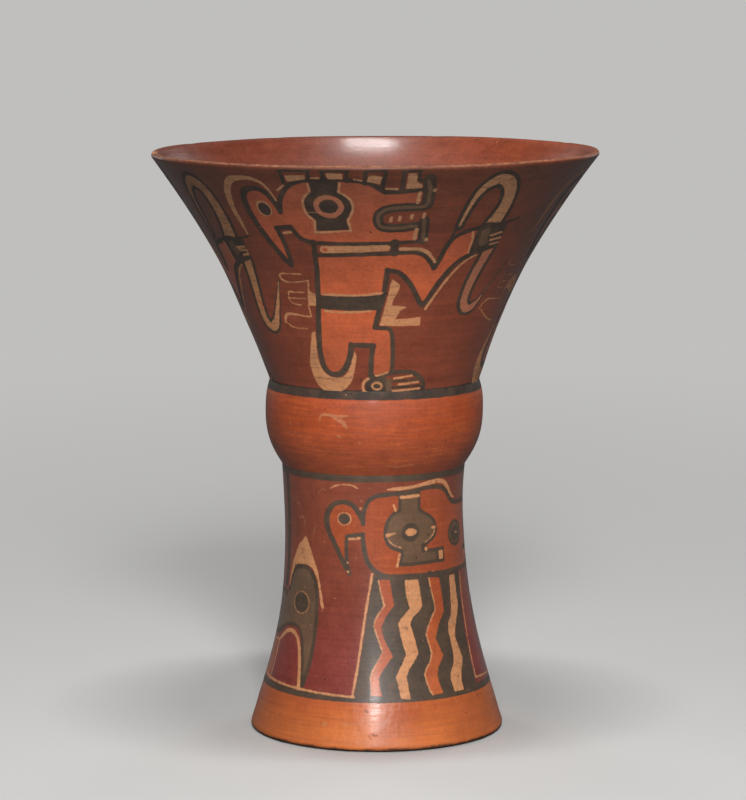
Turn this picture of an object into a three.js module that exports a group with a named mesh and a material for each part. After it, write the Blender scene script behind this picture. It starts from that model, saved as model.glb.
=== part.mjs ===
// A coil-built ceramic kero: a waisted drinking cup with a flaring bowl, a bulging belt and a splayed foot.
// Its pieces are the ones a potter joins before firing: a floor disc, coils laid one on another, and a belt.
// Millimetres and degrees, +Z up, origin at the centre of the base, on the surface that the cup stands on.
import * as THREE from "three";

// Heights
const STEM_HEIGHT = 94.5; // base to the belt's lower edge
const BELT_HEIGHT = 30; // belt's lower edge to its upper edge
const BOWL_HEIGHT = 80.5; // belt's upper edge to the top of the lip
const WAIST_HEIGHT = 74; // base to the narrowest place on the stem
const CROWN_RISE = 20; // belt's lower edge to its fullest place

// Outside radii
const FOOT_RADIUS = 45.6;
const WAIST_RADIUS = 31.4;
const STEM_TOP_RADIUS = 32.4;
const BELT_RADIUS = 38.6;
const NECK_RADIUS = 37.1;
const RIM_RADIUS = 78.2;

// Lean of the outside wall from upright
const FOOT_FLARE = 18.3;
const NECK_FLARE = 15.5;
const RIM_FLARE = 34.5;

// Fullness of the curves
const CURVE_HANDLE = 0.38; // reach of a curve's handles, as a share of its height
const BELT_SHOULDER = 0.85; // how nearly the belt's shoulders come out to its fullest place

// Clay thicknesses and edges
const FLOOR_THICKNESS = 7;
const WALL = 5;
const LIP_WALL = 2.8;
const FOOT_EDGE = 1.6;

// How the clay is joined
const COIL_HEIGHT = 22; // wanted height of one coil, measured up the wall
const SCARF_LAP = 4; // how much higher a coil's joint lies outside than inside, measured up the wall
const LUTE = 0.4; // bed of wet clay slip between two pieces, measured up the wall

// Fineness of the facets
const TURN_STEPS = 60;
const OUTSIDE_STEPS = 3;
const INSIDE_STEPS = 2;
const LIP_STEPS = 5;
const BELT_STEPS = 5;

const BELT_TOP = STEM_HEIGHT + BELT_HEIGHT;
const CUP_HEIGHT = BELT_TOP + BOWL_HEIGHT;

const RED_SLIP = { color: 0x7a2f20, roughness: 0.42, metalness: 0 };
const ORANGE_SLIP = { color: 0xb4552a, roughness: 0.38, metalness: 0 };

const point = (radius, height) => new THREE.Vector2(radius, height);

// A step of the given length that leans out from upright
function lean(degrees, length) {
  const angle = THREE.MathUtils.degToRad(degrees);
  return point(Math.sin(angle) * length, Math.cos(angle) * length);
}

// The outside of the wall from the base to the start of the lip, as one path of radius against height
function wallOutside() {
  const foot = point(FOOT_RADIUS, 0);
  const waist = point(WAIST_RADIUS, WAIST_HEIGHT);
  const stemTop = point(STEM_TOP_RADIUS, STEM_HEIGHT);
  const neck = point(NECK_RADIUS, BELT_TOP);
  const lipRound = LIP_WALL / 2;
  const lipSide = lean(RIM_FLARE, lipRound);
  const rim = point(RIM_RADIUS - lipRound + lipSide.y, CUP_HEIGHT - lipRound - lipSide.x);

  const stemHandle = WAIST_HEIGHT * CURVE_HANDLE;
  const bowlHandle = BOWL_HEIGHT * CURVE_HANDLE;
  const path = new THREE.CurvePath();
  path.add(new THREE.CubicBezierCurve(
    foot,
    foot.clone().add(lean(-FOOT_FLARE, stemHandle)),
    point(WAIST_RADIUS, WAIST_HEIGHT - stemHandle),
    waist,
  ));
  path.add(new THREE.QuadraticBezierCurve(
    waist,
    point(WAIST_RADIUS, (WAIST_HEIGHT + STEM_HEIGHT) / 2),
    stemTop,
  ));
  path.add(new THREE.LineCurve(stemTop, neck));
  path.add(new THREE.CubicBezierCurve(
    neck,
    neck.clone().add(lean(NECK_FLARE, bowlHandle)),
    rim.clone().sub(lean(RIM_FLARE, bowlHandle)),
    rim,
  ));
  return path;
}

const wall = wallOutside();
const wallLength = wall.getLength();

// Lengths up the wall are measured on its outside, from the base
const neckLength = lengthAtHeight(BELT_TOP, 0);

// The wall keeps its thickness up to the bowl and then thins to the lip
function thickness(length) {
  const upBowl = THREE.MathUtils.clamp((length - neckLength) / (wallLength - neckLength), 0, 1);
  return THREE.MathUtils.lerp(WALL, LIP_WALL, upBowl);
}

// A place in the wall: so far up it, and so far in from its outside
function wallPoint(length, depth) {
  const share = length / wallLength;
  const heading = wall.getTangent(share);
  return wall.getPoint(share).add(point(-heading.y, heading.x).multiplyScalar(depth));
}

const outside = (length) => wallPoint(length, 0);
const inside = (length) => wallPoint(length, thickness(length));

// How far up the wall a height lies, at a depth in from the outside
function lengthAtHeight(height, depth) {
  let low = 0;
  let high = wallLength;
  for (let halving = 0; halving < 40; halving += 1) {
    const middle = (low + high) / 2;
    if (wallPoint(middle, depth).y < height) low = middle;
    else high = middle;
  }
  return low;
}

// Points at even lengths along one face of the wall, ends included
function along(face, from, to, steps) {
  return Array.from({ length: steps + 1 }, (_, i) => face(THREE.MathUtils.lerp(from, to, i / steps)));
}

// A solid turned about the upright axis from an outline that runs up its outside and down its inside
function turned(name, outline, look) {
  const geometry = new THREE.LatheGeometry(outline, TURN_STEPS).rotateX(Math.PI / 2);
  const mesh = new THREE.Mesh(geometry, new THREE.MeshStandardMaterial(look));
  mesh.name = name;
  return mesh;
}

// The slab that closes the cup, with its edge rounded where it meets the table
function floorDisc() {
  const edgeTop = lengthAtHeight(FLOOR_THICKNESS, 0);
  const edge = new THREE.QuadraticBezierCurve(
    point(FOOT_RADIUS - FOOT_EDGE, 0),
    point(FOOT_RADIUS, 0),
    outside(FOOT_EDGE),
  );
  return turned("floor_disc", [
    point(0, 0),
    ...edge.getPoints(OUTSIDE_STEPS),
    ...along(outside, FOOT_EDGE, edgeTop, OUTSIDE_STEPS).slice(1),
    point(0, FLOOR_THICKNESS),
  ], ORANGE_SLIP);
}

// A coil's end, as lengths up the outside and the inside of the wall
const flatSeat = (height) => ({ outer: lengthAtHeight(height, 0), inner: lengthAtHeight(height, WALL) });
const scarf = (length) => ({ outer: length + SCARF_LAP / 2, inner: length - SCARF_LAP / 2 });
const raised = (end, by) => ({ outer: end.outer + by, inner: end.inner + by });

// One ring of clay between two ends, pressed flat into the wall
function coil(name, bottom, top, look) {
  const outline = [
    ...along(outside, bottom.outer, top.outer, OUTSIDE_STEPS),
    ...along(inside, top.inner, bottom.inner, INSIDE_STEPS),
  ];
  return turned(name, [...outline, outline[0].clone()], look);
}

// The last coil, drawn up thin and rounded over into the lip
function rimCoil(bottom) {
  const top = wallPoint(wallLength, LIP_WALL / 2);
  const start = outside(wallLength).sub(top).angle();
  const lip = new THREE.EllipseCurve(top.x, top.y, LIP_WALL / 2, LIP_WALL / 2, start, start + Math.PI);
  const outline = [
    ...along(outside, bottom.outer, wallLength, OUTSIDE_STEPS),
    ...lip.getPoints(LIP_STEPS).slice(1),
    ...along(inside, wallLength, bottom.inner, INSIDE_STEPS).slice(1),
  ];
  return turned("rim_coil", [...outline, outline[0].clone()], RED_SLIP);
}

// The belt laid round the neck, full above its middle, with its edges drawn down to the wall
function belt() {
  const foot = point(STEM_TOP_RADIUS + LUTE, STEM_HEIGHT);
  const head = point(NECK_RADIUS + LUTE, BELT_TOP);
  const crown = point(BELT_RADIUS, STEM_HEIGHT + CROWN_RISE);
  const bulge = (end) => new THREE.CubicBezierCurve(
    end,
    point(
      THREE.MathUtils.lerp(end.x, crown.x, BELT_SHOULDER),
      THREE.MathUtils.lerp(end.y, crown.y, CURVE_HANDLE),
    ),
    point(crown.x, THREE.MathUtils.lerp(crown.y, end.y, CURVE_HANDLE)),
    crown,
  ).getPoints(BELT_STEPS);
  const outline = [...bulge(foot), ...bulge(head).reverse().slice(1), foot];
  return turned("belt", outline, ORANGE_SLIP);
}

// Even joints between two lengths up the wall, none at the ends
function jointsBetween(from, to) {
  const count = Math.max(1, Math.round((to - from) / COIL_HEIGHT));
  return Array.from({ length: count - 1 }, (_, i) => scarf(THREE.MathUtils.lerp(from, to, (i + 1) / count)));
}

// The coils of the wall from the floor up. The neck coil's two joints lie behind the belt.
function wallCoils() {
  const seat = flatSeat(FLOOR_THICKNESS + LUTE);
  const neckFoot = scarf(lengthAtHeight(STEM_HEIGHT, 0));
  const neckHead = scarf(neckLength - SCARF_LAP);
  const stemJoints = [...jointsBetween(seat.outer, neckFoot.outer), neckFoot];
  const bowlJoints = jointsBetween(neckHead.outer, wallLength);

  const coils = [coil("foot_coil", seat, raised(stemJoints[0], -LUTE), ORANGE_SLIP)];
  stemJoints.slice(1).forEach((top, i) => {
    coils.push(coil(`stem_coil_${i + 1}`, stemJoints[i], raised(top, -LUTE), RED_SLIP));
  });
  coils.push(coil("neck_coil", neckFoot, raised(neckHead, -LUTE), RED_SLIP));
  bowlJoints.forEach((top, i) => {
    const bottom = i === 0 ? neckHead : bowlJoints[i - 1];
    coils.push(coil(`bowl_coil_${i + 1}`, bottom, raised(top, -LUTE), RED_SLIP));
  });
  coils.push(rimCoil(bowlJoints.at(-1) ?? neckHead));
  return coils;
}

const kero = new THREE.Group();
kero.add(floorDisc(), ...wallCoils(), belt());

export default kero;
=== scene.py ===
"""A coil-built kero cup: its turned clay pieces, its slip painting and its studio."""
import math
from functools import partial, reduce

import bpy
import numpy as np
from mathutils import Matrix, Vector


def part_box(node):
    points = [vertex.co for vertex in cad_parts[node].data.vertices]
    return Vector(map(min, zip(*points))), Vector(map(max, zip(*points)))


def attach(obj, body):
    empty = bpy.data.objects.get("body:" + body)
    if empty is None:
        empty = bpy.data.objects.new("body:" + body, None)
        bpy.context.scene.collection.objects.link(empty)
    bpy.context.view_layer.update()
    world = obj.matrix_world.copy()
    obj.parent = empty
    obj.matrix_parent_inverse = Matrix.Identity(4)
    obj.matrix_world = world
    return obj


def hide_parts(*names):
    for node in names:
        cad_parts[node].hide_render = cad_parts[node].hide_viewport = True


bl_info = {
    "name": "Kero Cup",
    "version": (1, 0, 0),
    "blender": (4, 5, 0),
    "location": "View3D > Sidebar > Kero",
    "description": "Builds a slip-painted, coil-built drinking cup piece by piece",
    "category": "Add Mesh",
}

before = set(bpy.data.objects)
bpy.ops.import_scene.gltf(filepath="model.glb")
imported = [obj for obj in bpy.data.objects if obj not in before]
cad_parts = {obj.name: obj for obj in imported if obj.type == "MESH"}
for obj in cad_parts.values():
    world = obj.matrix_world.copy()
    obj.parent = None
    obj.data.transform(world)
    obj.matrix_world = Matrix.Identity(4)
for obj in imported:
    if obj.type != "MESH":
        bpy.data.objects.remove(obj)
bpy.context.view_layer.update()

MM = 0.001
TURN = 360.0

# Distance between the points of a mesh, in millimetres
PAINT_GRID = 0.5
FLOOR_GRID = 0.8
PLAIN_GRID = 1.6

# Steps along the curves of the section
SECTION_STEPS = 200
EDGE_STEPS = 8
BELT_STEPS = 34
BELT_BACK_STEPS = 11
LIP_STEPS = 11

# Steps of a brush stroke from each of its points to the next, and steps round an oval
STROKE_STEPS = 8
OVAL_STEPS = 24

# Points nearer than this are merged, and edges flatter than this look smooth
MERGE = 0.001 * MM
SMOOTH_ANGLE = math.radians(30)

# How far below the lip the inside begins to open, and the wall's extra thickness below that, in millimetres
LIP_OPENING = 9.0
BELOW_OPENING = 0.22

# Even samples along the wall, and how many to each side of one its direction is eased over
WALL_SAMPLES = 2001
EASE_SAMPLES = 90

# What a point that isn't on the outside has in place of its length up the wall
NOT_OUTSIDE = -1000.0


def lowest(node):
    """The height of a node's lowest point, in metres."""
    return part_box(node)[0][2]


def highest(node):
    """The height of a node's highest point, in metres."""
    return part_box(node)[1][2]


def reach(node):
    """A node's outside radius, in metres."""
    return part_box(node)[1][0]


# The settings that a user would change


def length_setting(name, description, default):
    return bpy.props.FloatProperty(
        name=name, description=description, default=default, min=0.0, unit="LENGTH"
    )


def angle_setting(name, description, degrees):
    return bpy.props.FloatProperty(
        name=name, description=description, default=math.radians(degrees), subtype="ANGLE"
    )


def share_setting(name, description, default):
    return bpy.props.FloatProperty(
        name=name, description=description, default=default, min=0.0, max=1.0, subtype="FACTOR"
    )


def colour_setting(name, description, red, green, blue):
    """A colour that is given as it looks on a screen, from 0 to 255."""
    shown = np.array([red, green, blue]) / 255
    linear = np.where(shown <= 0.04045, shown / 12.92, ((shown + 0.055) / 1.055) ** 2.4)
    return bpy.props.FloatVectorProperty(
        name=name, description=description, default=linear.tolist(), min=0.0, max=1.0, subtype="COLOR"
    )


class KeroShape(bpy.types.PropertyGroup):
    """The sizes of the clay."""

    foot_radius: length_setting("Foot radius", "Outside radius where the cup stands", 45.6 * MM)
    foot_edge: length_setting("Foot edge", "Rounding of the edge that stands on the table", 2.4 * MM)
    foot_flare: angle_setting("Foot flare", "Lean of the wall at the foot", 18.3)
    waist_radius: length_setting("Waist radius", "Outside radius at the stem's narrowest place", 31.4 * MM)
    waist_height: length_setting("Waist height", "Height of the stem's narrowest place", 74 * MM)
    stem_top_radius: length_setting("Stem top radius", "Outside radius below the belt", 32.4 * MM)
    belt_low: length_setting("Belt's lower edge", "Height of the belt's lower edge", lowest("belt"))
    belt_high: length_setting("Belt's upper edge", "Height of the belt's upper edge", highest("belt"))
    belt_radius: length_setting("Belt radius", "Outside radius at the belt's fullest place", reach("belt"))
    belt_crown: length_setting("Belt's crown", "How far above its lower edge the belt is fullest", 20 * MM)
    belt_shoulder: share_setting("Belt's shoulder", "How nearly its shoulders reach its crown", 0.85)
    neck_radius: length_setting("Neck radius", "Outside radius at the foot of the bowl", 37.1 * MM)
    neck_flare: angle_setting("Neck flare", "Lean of the wall at the foot of the bowl", 15.5)
    rim_radius: length_setting("Rim radius", "Outside radius of the lip", reach("rim_coil"))
    rim_height: length_setting("Rim height", "Height of the lip", highest("rim_coil"))
    rim_flare: angle_setting("Rim flare", "Lean of the wall at the lip", 34.5)
    curve_handle: share_setting("Curve handle", "Reach of the curves' handles, as a share of height", 0.38)
    floor_thickness: length_setting("Floor", "Thickness of the floor disc", highest("floor_disc"))
    wall: length_setting("Wall", "Thickness of the wall", 5 * MM)
    lip: length_setting("Lip", "Thickness of the wall at the lip", 2.2 * MM)
    scarf_lap: length_setting("Scarf lap", "How much higher a joint lies outside than inside", 4 * MM)
    rim_tilt: length_setting("Rim tilt", "How unevenly the rim stands", 1 * MM)
    waviness: length_setting("Waviness", "How far the hand-built wall wanders", 0.3 * MM)


class KeroSlips(bpy.types.PropertyGroup):
    """The colours of the clay and its slips."""

    red: colour_setting("Bowl red", "Burnished red slip of the bowl", 150, 76, 54)
    plum: colour_setting("Stem red", "Cooler red slip of the stem", 146, 68, 63)
    orange: colour_setting("Orange", "Burnished orange slip of the belt and the figures", 194, 93, 55)
    flame: colour_setting("Flame", "Deeper orange on the belt's upper side", 192, 83, 38)
    amber: colour_setting("Amber", "Yellower orange slip of the foot", 232, 128, 64)
    umber: colour_setting("Umber", "Grey brown slip", 124, 95, 73)
    black: colour_setting("Black", "Soft black slip of the outlines", 70, 57, 48)
    ash: colour_setting("Ash", "Greyer black slip, lower on the cup", 87, 71, 58)
    cream: colour_setting("Cream", "Pale slip of the highlights", 222, 153, 105)
    dun: colour_setting("Dun", "Pinkish tan slip of the eye and the staff", 196, 122, 92)
    clay: colour_setting("Clay", "Bare fired clay where the slip has worn away", 152, 99, 80)


class KeroStudio(bpy.types.PropertyGroup):
    """The floor, the lamps and the camera."""

    floor: colour_setting("Floor", "Floor and backdrop", 214, 213, 211)
    bounce: colour_setting("Bounce", "The floor as the cup's underside sees it", 74, 73, 72)
    sheen: share_setting("Sheen", "How much of the pale floor shows in the cup's gloss", 0.22)
    backdrop: share_setting("Backdrop", "Brightness of the far floor", 0.78)
    lens: bpy.props.FloatProperty(
        name="Lens", description="Focal length of the camera", default=155.73, unit="CAMERA"
    )
    distance: length_setting("Distance", "How far in front of the cup the camera stands", 1.2178)
    height: length_setting("Height", "How high the camera stands", 0.2849)
    aside: length_setting("Aside", "How far to the left of the cup's axis the camera stands", 1.35 * MM)
    pitch: angle_setting("Pitch", "How far the camera looks down", 7.838)


# The section of the cup


def bezier(handles, steps=SECTION_STEPS):
    """Points along a Bezier curve with any number of handles."""
    share = np.linspace(0, 1, steps + 1)[:, None]
    layer = [np.asarray(handle, float) for handle in handles]
    while len(layer) > 1:
        layer = [a + (b - a) * share for a, b in zip(layer, layer[1:])]
    return layer[0]


def leaning(angle, length):
    """A step of radius and height that leans out from upright."""
    return np.array([math.sin(angle), math.cos(angle)]) * length


class Wall:
    """The section of the wall, in millimetres: lengths run up its outside from the base to the lip."""

    def __init__(self, shape):
        foot = np.array([shape.foot_radius, 0]) / MM
        waist = np.array([shape.waist_radius, shape.waist_height]) / MM
        stem_top = np.array([shape.stem_top_radius, shape.belt_low]) / MM
        neck = np.array([shape.neck_radius, shape.belt_high]) / MM
        self.lip_round = shape.lip / MM / 2
        side = leaning(shape.rim_flare, self.lip_round)
        rim = np.array([shape.rim_radius, shape.rim_height]) / MM - self.lip_round + [side[1], -side[0]]
        stem_handle = waist[1] * shape.curve_handle
        bowl_handle = (shape.rim_height - shape.belt_high) / MM * shape.curve_handle
        curves = [
            bezier([foot, foot + leaning(-shape.foot_flare, stem_handle), waist - [0, stem_handle], waist]),
            bezier([waist, [waist[0], (waist[1] + stem_top[1]) / 2], stem_top]),
            bezier([stem_top, neck]),
            bezier([
                neck,
                neck + leaning(shape.neck_flare, bowl_handle),
                rim - leaning(shape.rim_flare, bowl_handle),
                rim,
            ]),
        ]
        self.path = np.vstack([curves[0]] + [later[1:] for later in curves[1:]])
        strides = np.hypot(*np.diff(self.path, axis=0).T)
        self.lengths = np.concatenate([[0], np.cumsum(strides)])
        self.total = self.lengths[-1]
        self.neck = self.at_height(shape.belt_high / MM)
        self.full = shape.wall / MM
        self.inward = self.smooth_inward()

    def smooth_inward(self):
        """Inward directions along the path, eased round its two creases so that the inside is smooth."""
        even = np.linspace(0, self.total, WALL_SAMPLES)
        path = np.column_stack([np.interp(even, self.lengths, self.path[:, axis]) for axis in (0, 1)])
        heading = np.gradient(path, axis=0)
        ease = np.hanning(2 * EASE_SAMPLES + 1)
        padded = np.pad(heading, ((EASE_SAMPLES,) * 2, (0, 0)), mode="edge")
        heading = np.column_stack([np.convolve(padded[:, axis], ease, "valid") for axis in (0, 1)])
        heading /= np.hypot(*heading.T)[:, None]
        return even, np.column_stack([-heading[:, 1], heading[:, 0]])

    def at_height(self, height):
        """The length up the outside at a height."""
        return float(np.interp(height, self.path[:, 1], self.lengths))

    def outside(self, lengths):
        """Points on the outside, as radius and height."""
        return np.column_stack([np.interp(lengths, self.lengths, self.path[:, axis]) for axis in (0, 1)])

    def thickness(self, lengths):
        """The wall's thickness, which falls from the neck to the lip."""
        lengths = np.asarray(lengths)
        up_bowl = np.clip((lengths - self.neck) / (self.total - self.neck), 0, 1)
        near_lip = np.clip((lengths - self.total) / LIP_OPENING + 1, 0, 1)
        thinning = (2 * self.lip_round - self.full) * up_bowl
        return self.full + thinning + BELOW_OPENING * (1 - near_lip ** 2)

    def inside(self, lengths):
        """Points on the inside, opposite those on the outside."""
        even, inward = self.inward
        across = np.column_stack([np.interp(lengths, even, inward[:, axis]) for axis in (0, 1)])
        return self.outside(lengths) + across * self.thickness(lengths)[:, None]


def even_steps(start, end, grid):
    """Places from start to end, both included, about one grid apart."""
    return np.linspace(start, end, max(2, round(abs(end - start) / grid)) + 1)


# Turning a section into a piece


def set_values(mesh, name, values):
    """Gives a mesh's points a float attribute."""
    mesh.attributes.new(name, "FLOAT", "POINT").data.foreach_set("value", np.asarray(values, np.float32))


def values_of(mesh, name):
    """A float attribute of a mesh's points."""
    found = np.empty(len(mesh.vertices), np.float32)
    mesh.attributes[name].data.foreach_get("value", found)
    return found


def places_of(mesh):
    """The places of a mesh's points, in millimetres."""
    found = np.empty(len(mesh.vertices) * 3)
    mesh.vertices.foreach_get("co", found)
    return found.reshape(-1, 3) / MM


def turned(name, outline, up_wall, grid):
    """A closed solid, spun about the upright axis from a closed outline of radius and height in millimetres.

    up_wall holds, for each point of the outline, its length up the outside of the wall, or NOT_OUTSIDE.
    """
    bpy.ops.object.select_all(action="DESELECT")
    bpy.ops.mesh.primitive_circle_add(vertices=len(outline), radius=outline[:, 0].max() * MM)
    piece = bpy.context.object
    piece.name = name
    piece.data.name = name
    mesh = piece.data
    section = np.column_stack([outline[:, 0], np.zeros(len(outline)), outline[:, 1]]) * MM
    mesh.vertices.foreach_set("co", section.ravel())
    set_values(mesh, "up_wall", up_wall)
    strides = np.hypot(*np.diff(outline, axis=0).T)
    set_values(mesh, "round_section", [0, *strides.cumsum()])

    bpy.ops.object.modifier_add(type="SCREW")
    wheel = piece.modifiers[-1]
    wheel.axis = "Z"
    wheel.angle = math.tau
    wheel.steps = wheel.render_steps = round(math.tau * outline[:, 0].max() / grid)
    wheel.use_merge_vertices = True
    wheel.merge_threshold = MERGE
    bpy.ops.object.modifier_apply(modifier=wheel.name)

    bpy.ops.object.mode_set(mode="EDIT")
    bpy.ops.mesh.select_all(action="SELECT")
    bpy.ops.mesh.remove_doubles(threshold=MERGE)
    bpy.ops.mesh.normals_make_consistent(inside=False)
    bpy.ops.object.mode_set(mode="OBJECT")
    bpy.ops.object.shade_smooth_by_angle(angle=SMOOTH_ANGLE)
    return piece


def degrees_round(places):
    """Degrees round the cup from the front, growing to the right as the front is seen."""
    return np.degrees(np.arctan2(places[:, 0], -places[:, 1]))


# Slip painting: each coat goes over the coats before it

COATS = (
    ("orange_ground", "orange"),
    ("umber_ground", "umber"),
    ("black_line", "black"),
    ("umber_line", "umber"),
    ("cream_line", "cream"),
    ("dun_line", "dun"),
    ("orange_mark", "orange"),
    ("black_mark", "black"),
    ("umber_mark", "umber"),
    ("cream_mark", "cream"),
    ("scuff", "clay"),
)
# How far inside and outside its edge a mark is measured, in millimetres
COAT_REACH = 2.0
# How far the whole painting leans to the left for each millimetre up
PAINT_LEAN = 0.0034
# How far the painting sits below its drawing in millimetres and, at two heights, how many degrees its left
# side crowds to the front and its right side spreads from it
STEM_HABIT = (0.5, (15, 1.2, 0), (45, 2.9, 0))
BOWL_HABIT = (0.85, (25, 1.7, -0.2), (70, 0.1, 0.9))
# Stands in for the squared length of a stroke whose two ends are one point
NO_LENGTH = 1e-9


class Mark:
    """One touch of the brush: a filled outline, or a line with a width at each of its points.

    Points are degrees round the cup and millimetres up the wall. Widths are millimetres.
    """

    def __init__(self, coat, points, widths=None):
        self.coat = coat
        self.points = np.asarray(points, float)
        self.widths = widths

    def cover(self, degrees, up, radius):
        """How far inside the mark each place lies, in millimetres, with outside places negative."""
        scale = np.radians(radius)
        here = np.column_stack([degrees * scale, up])
        ends = self.points if self.widths is not None else np.vstack([self.points, self.points[:1]])
        nearest = np.full(len(here), -np.inf)
        inside = np.zeros(len(here), bool)
        for i, (a, b) in enumerate(zip(ends, ends[1:])):
            start = np.column_stack([a[0] * scale, np.full(len(here), a[1])])
            along = np.column_stack([(b[0] - a[0]) * scale, np.full(len(here), b[1] - a[1])])
            square = np.maximum((along ** 2).sum(1), NO_LENGTH)
            share = np.clip(((here - start) * along).sum(1) / square, 0, 1)
            gap = np.hypot(*(here - start - along * share[:, None]).T)
            if self.widths is not None:
                half = (self.widths[i] + (self.widths[i + 1] - self.widths[i]) * share) / 2
                nearest = np.maximum(nearest, half - gap)
                continue
            nearest = np.maximum(nearest, -gap)
            crosses = (a[1] > up) != (b[1] > up)
            if a[1] != b[1]:
                inside ^= crosses & (degrees < a[0] + (up - a[1]) / (b[1] - a[1]) * (b[0] - a[0]))
        return np.where(inside, -nearest, nearest)


def rounded(points):
    """A smooth curve through points, closed if it ends where it starts."""
    points = np.asarray(points, float)
    closed = np.allclose(points[0], points[-1])
    before = points[-2] if closed else 2 * points[0] - points[1]
    after = points[1] if closed else 2 * points[-1] - points[-2]
    knots = np.vstack([before, points, after])
    share = np.linspace(0, 1, STROKE_STEPS, endpoint=False)[:, None]
    spans = [
        b
        + share * (c - a) / 2
        + share ** 2 * (a - 2.5 * b + 2 * c - d / 2)
        + share ** 3 * (1.5 * (b - c) + (d - a) / 2)
        for a, b, c, d in zip(knots, knots[1:], knots[2:], knots[3:])
    ]
    return np.vstack(spans + ([] if closed else [points[-1:]]))


def traced(parts):
    """Corners, given as points, and smooth runs, given as lists of points, in one row."""
    return np.vstack([rounded(part) if isinstance(part, list) else [part] for part in parts])


def fill(coat, *parts):
    """A filled outline."""
    return Mark(coat, traced(parts))


def line(coat, width, *parts):
    """A line of one width."""
    points = traced(parts)
    return Mark(coat, points, np.full(len(points), float(width)))


def curve(coat, width, *points):
    """A smooth line of one width."""
    return line(coat, width, list(points))


black_line = partial(line, "black_line")
black_curve = partial(curve, "black_line")
cream_line = partial(line, "cream_line")
cream_curve = partial(curve, "cream_line")


def sweep(coat, *points):
    """A smooth line whose points give their own widths."""
    points = rounded(points)
    return Mark(coat, points[:, :2], points[:, 2])


def oval(coat, centre, across, up):
    """An oval of half-widths in degrees and millimetres."""
    angles = np.linspace(0, math.tau, OVAL_STEPS, endpoint=False)
    return Mark(coat, np.column_stack([across * np.cos(angles), up * np.sin(angles)]) + centre)


def oval_line(coat, width, centre, across, up):
    """The outline of an oval."""
    ring = oval(coat, centre, across, up).points
    return line(coat, width, *ring, ring[0])


def outlined(mark, width):
    """A line's black edging: the same line, wider, to go under it."""
    return Mark("black_line", mark.points, mark.widths + 2 * width)


def staff(slip):
    """The hooked staff: an upper sweep of cream, and a lower one of its own slip."""
    hook = sweep(
        "cream_line", (25.7, 66.2, 0.7), (26.3, 71, 1.1), (27.1, 75.5, 1.5), (28.4, 80.2, 2.2),
        (30.4, 83.8, 3.1), (33.4, 85.7, 4.2), (36.6, 83.9, 4.7), (38.4, 80, 4.7), (39, 75.5, 4.9),
        (38.6, 71, 5.4), (37.3, 65.5, 6.2),
    )
    shaft = sweep(
        slip, (41, 56.2, 4.2), (40.1, 51, 3.7), (38.9, 45, 3.3), (38, 39.5, 3), (37.9, 35.2, 2.9),
        (39.3, 32.3, 3), (42, 31.4, 2.8), (45, 33.2, 1.7), (47.4, 36.4, 0.7), (49.6, 40.2, 0.4),
        (51.6, 44.2, 0.3), (53.4, 48.4, 0.2),
    )
    edge = sweep(
        "black_line", (41, 56.2, 7.2), (40.1, 51, 6.7), (38.9, 45, 6.3), (38, 39.5, 6), (37.9, 35.2, 5.9),
        (39.3, 32.3, 5.8), (42, 31.4, 5.2), (45, 33.2, 3.6), (47.4, 36.4, 2.2), (49.6, 40.2, 1.5),
        (51.6, 44.2, 1.1), (53.6, 48.8, 0.8),
    )
    return [outlined(hook, 1.6), edge, hook, shaft]


def arm_and_hand():
    """The arm that holds the staff, and its hand."""
    return [
        fill(
            "orange_ground", (2, 55), [(10, 55.4), (15, 55), (18, 52.4), (20.6, 48.6)],
            [(21.4, 50), (22.8, 54), (23.8, 58), (26, 61.6), (29, 63.6), (32, 64)],
            [(33, 58), (33, 53.5), (29.5, 51.6), (26.5, 47.6), (23.5, 42), (21.2, 36.6), (19, 34.5)],
            [(17, 36.5), (14.4, 41.4), (11, 45.6), (7.6, 48), (3, 48.6)],
        ),
        black_curve(1.7, (4.2, 55.3), (10, 55.7), (14, 55.4), (16.8, 54), (18.8, 51.6), (20.8, 48.9)),
        black_curve(
            2, (20.8, 48.9), (22.2, 53), (23.2, 57.2), (24.6, 60.6), (27, 62.8), (30, 64.1), (33.6, 65.2),
        ),
        black_curve(1.2, (24, 60), (24.4, 63), (25.6, 66.6)),
        black_curve(1.9, (4.4, 48.3), (7.4, 47.9), (10, 46), (13, 42.5), (16, 37.8), (17.8, 35), (19, 34)),
        black_curve(
            2, (19, 34), (20.6, 36), (22.6, 40.2), (25.2, 45.2), (28.2, 49.7), (31, 52.4), (34, 53.8),
        ),
        fill(
            "black_mark", (32.8, 65.4), [(32.8, 65.4), (35.4, 67), (38.6, 66.8), (43.8, 66.6)],
            [
                (43.8, 66.6), (44, 61), (43.6, 56.4), (40, 55), (34.4, 53.4), (32.8, 55), (32.6, 60),
                (32.8, 65.4),
            ],
        ),
        curve("black_mark", 1, (42, 66.5), (45, 67), (47.6, 67.9)),
        fill(
            "umber_mark",
            [(34.8, 63.6), (37.6, 64.6), (38, 61), (38.6, 58), (36, 57), (34.8, 60.2), (34.8, 63.6)],
        ),
        cream_curve(0.9, (31.2, 63.4), (32, 60.4), (32.2, 57.6), (32.4, 54.8)),
        line("cream_mark", 0.9, (38.8, 61.3), (43, 62.3)),
        line("cream_mark", 0.9, (39.5, 59.3), (43.6, 60)),
        line("cream_mark", 0.9, (40.2, 57.4), (43.6, 58.1)),
        cream_curve(
            0.9, (20.5, 32.4), (22.6, 36.2), (25.2, 40.8), (28.2, 45.8), (31, 49.7), (33.6, 52),
            (36.2, 53.6),
        ),
    ]


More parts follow.
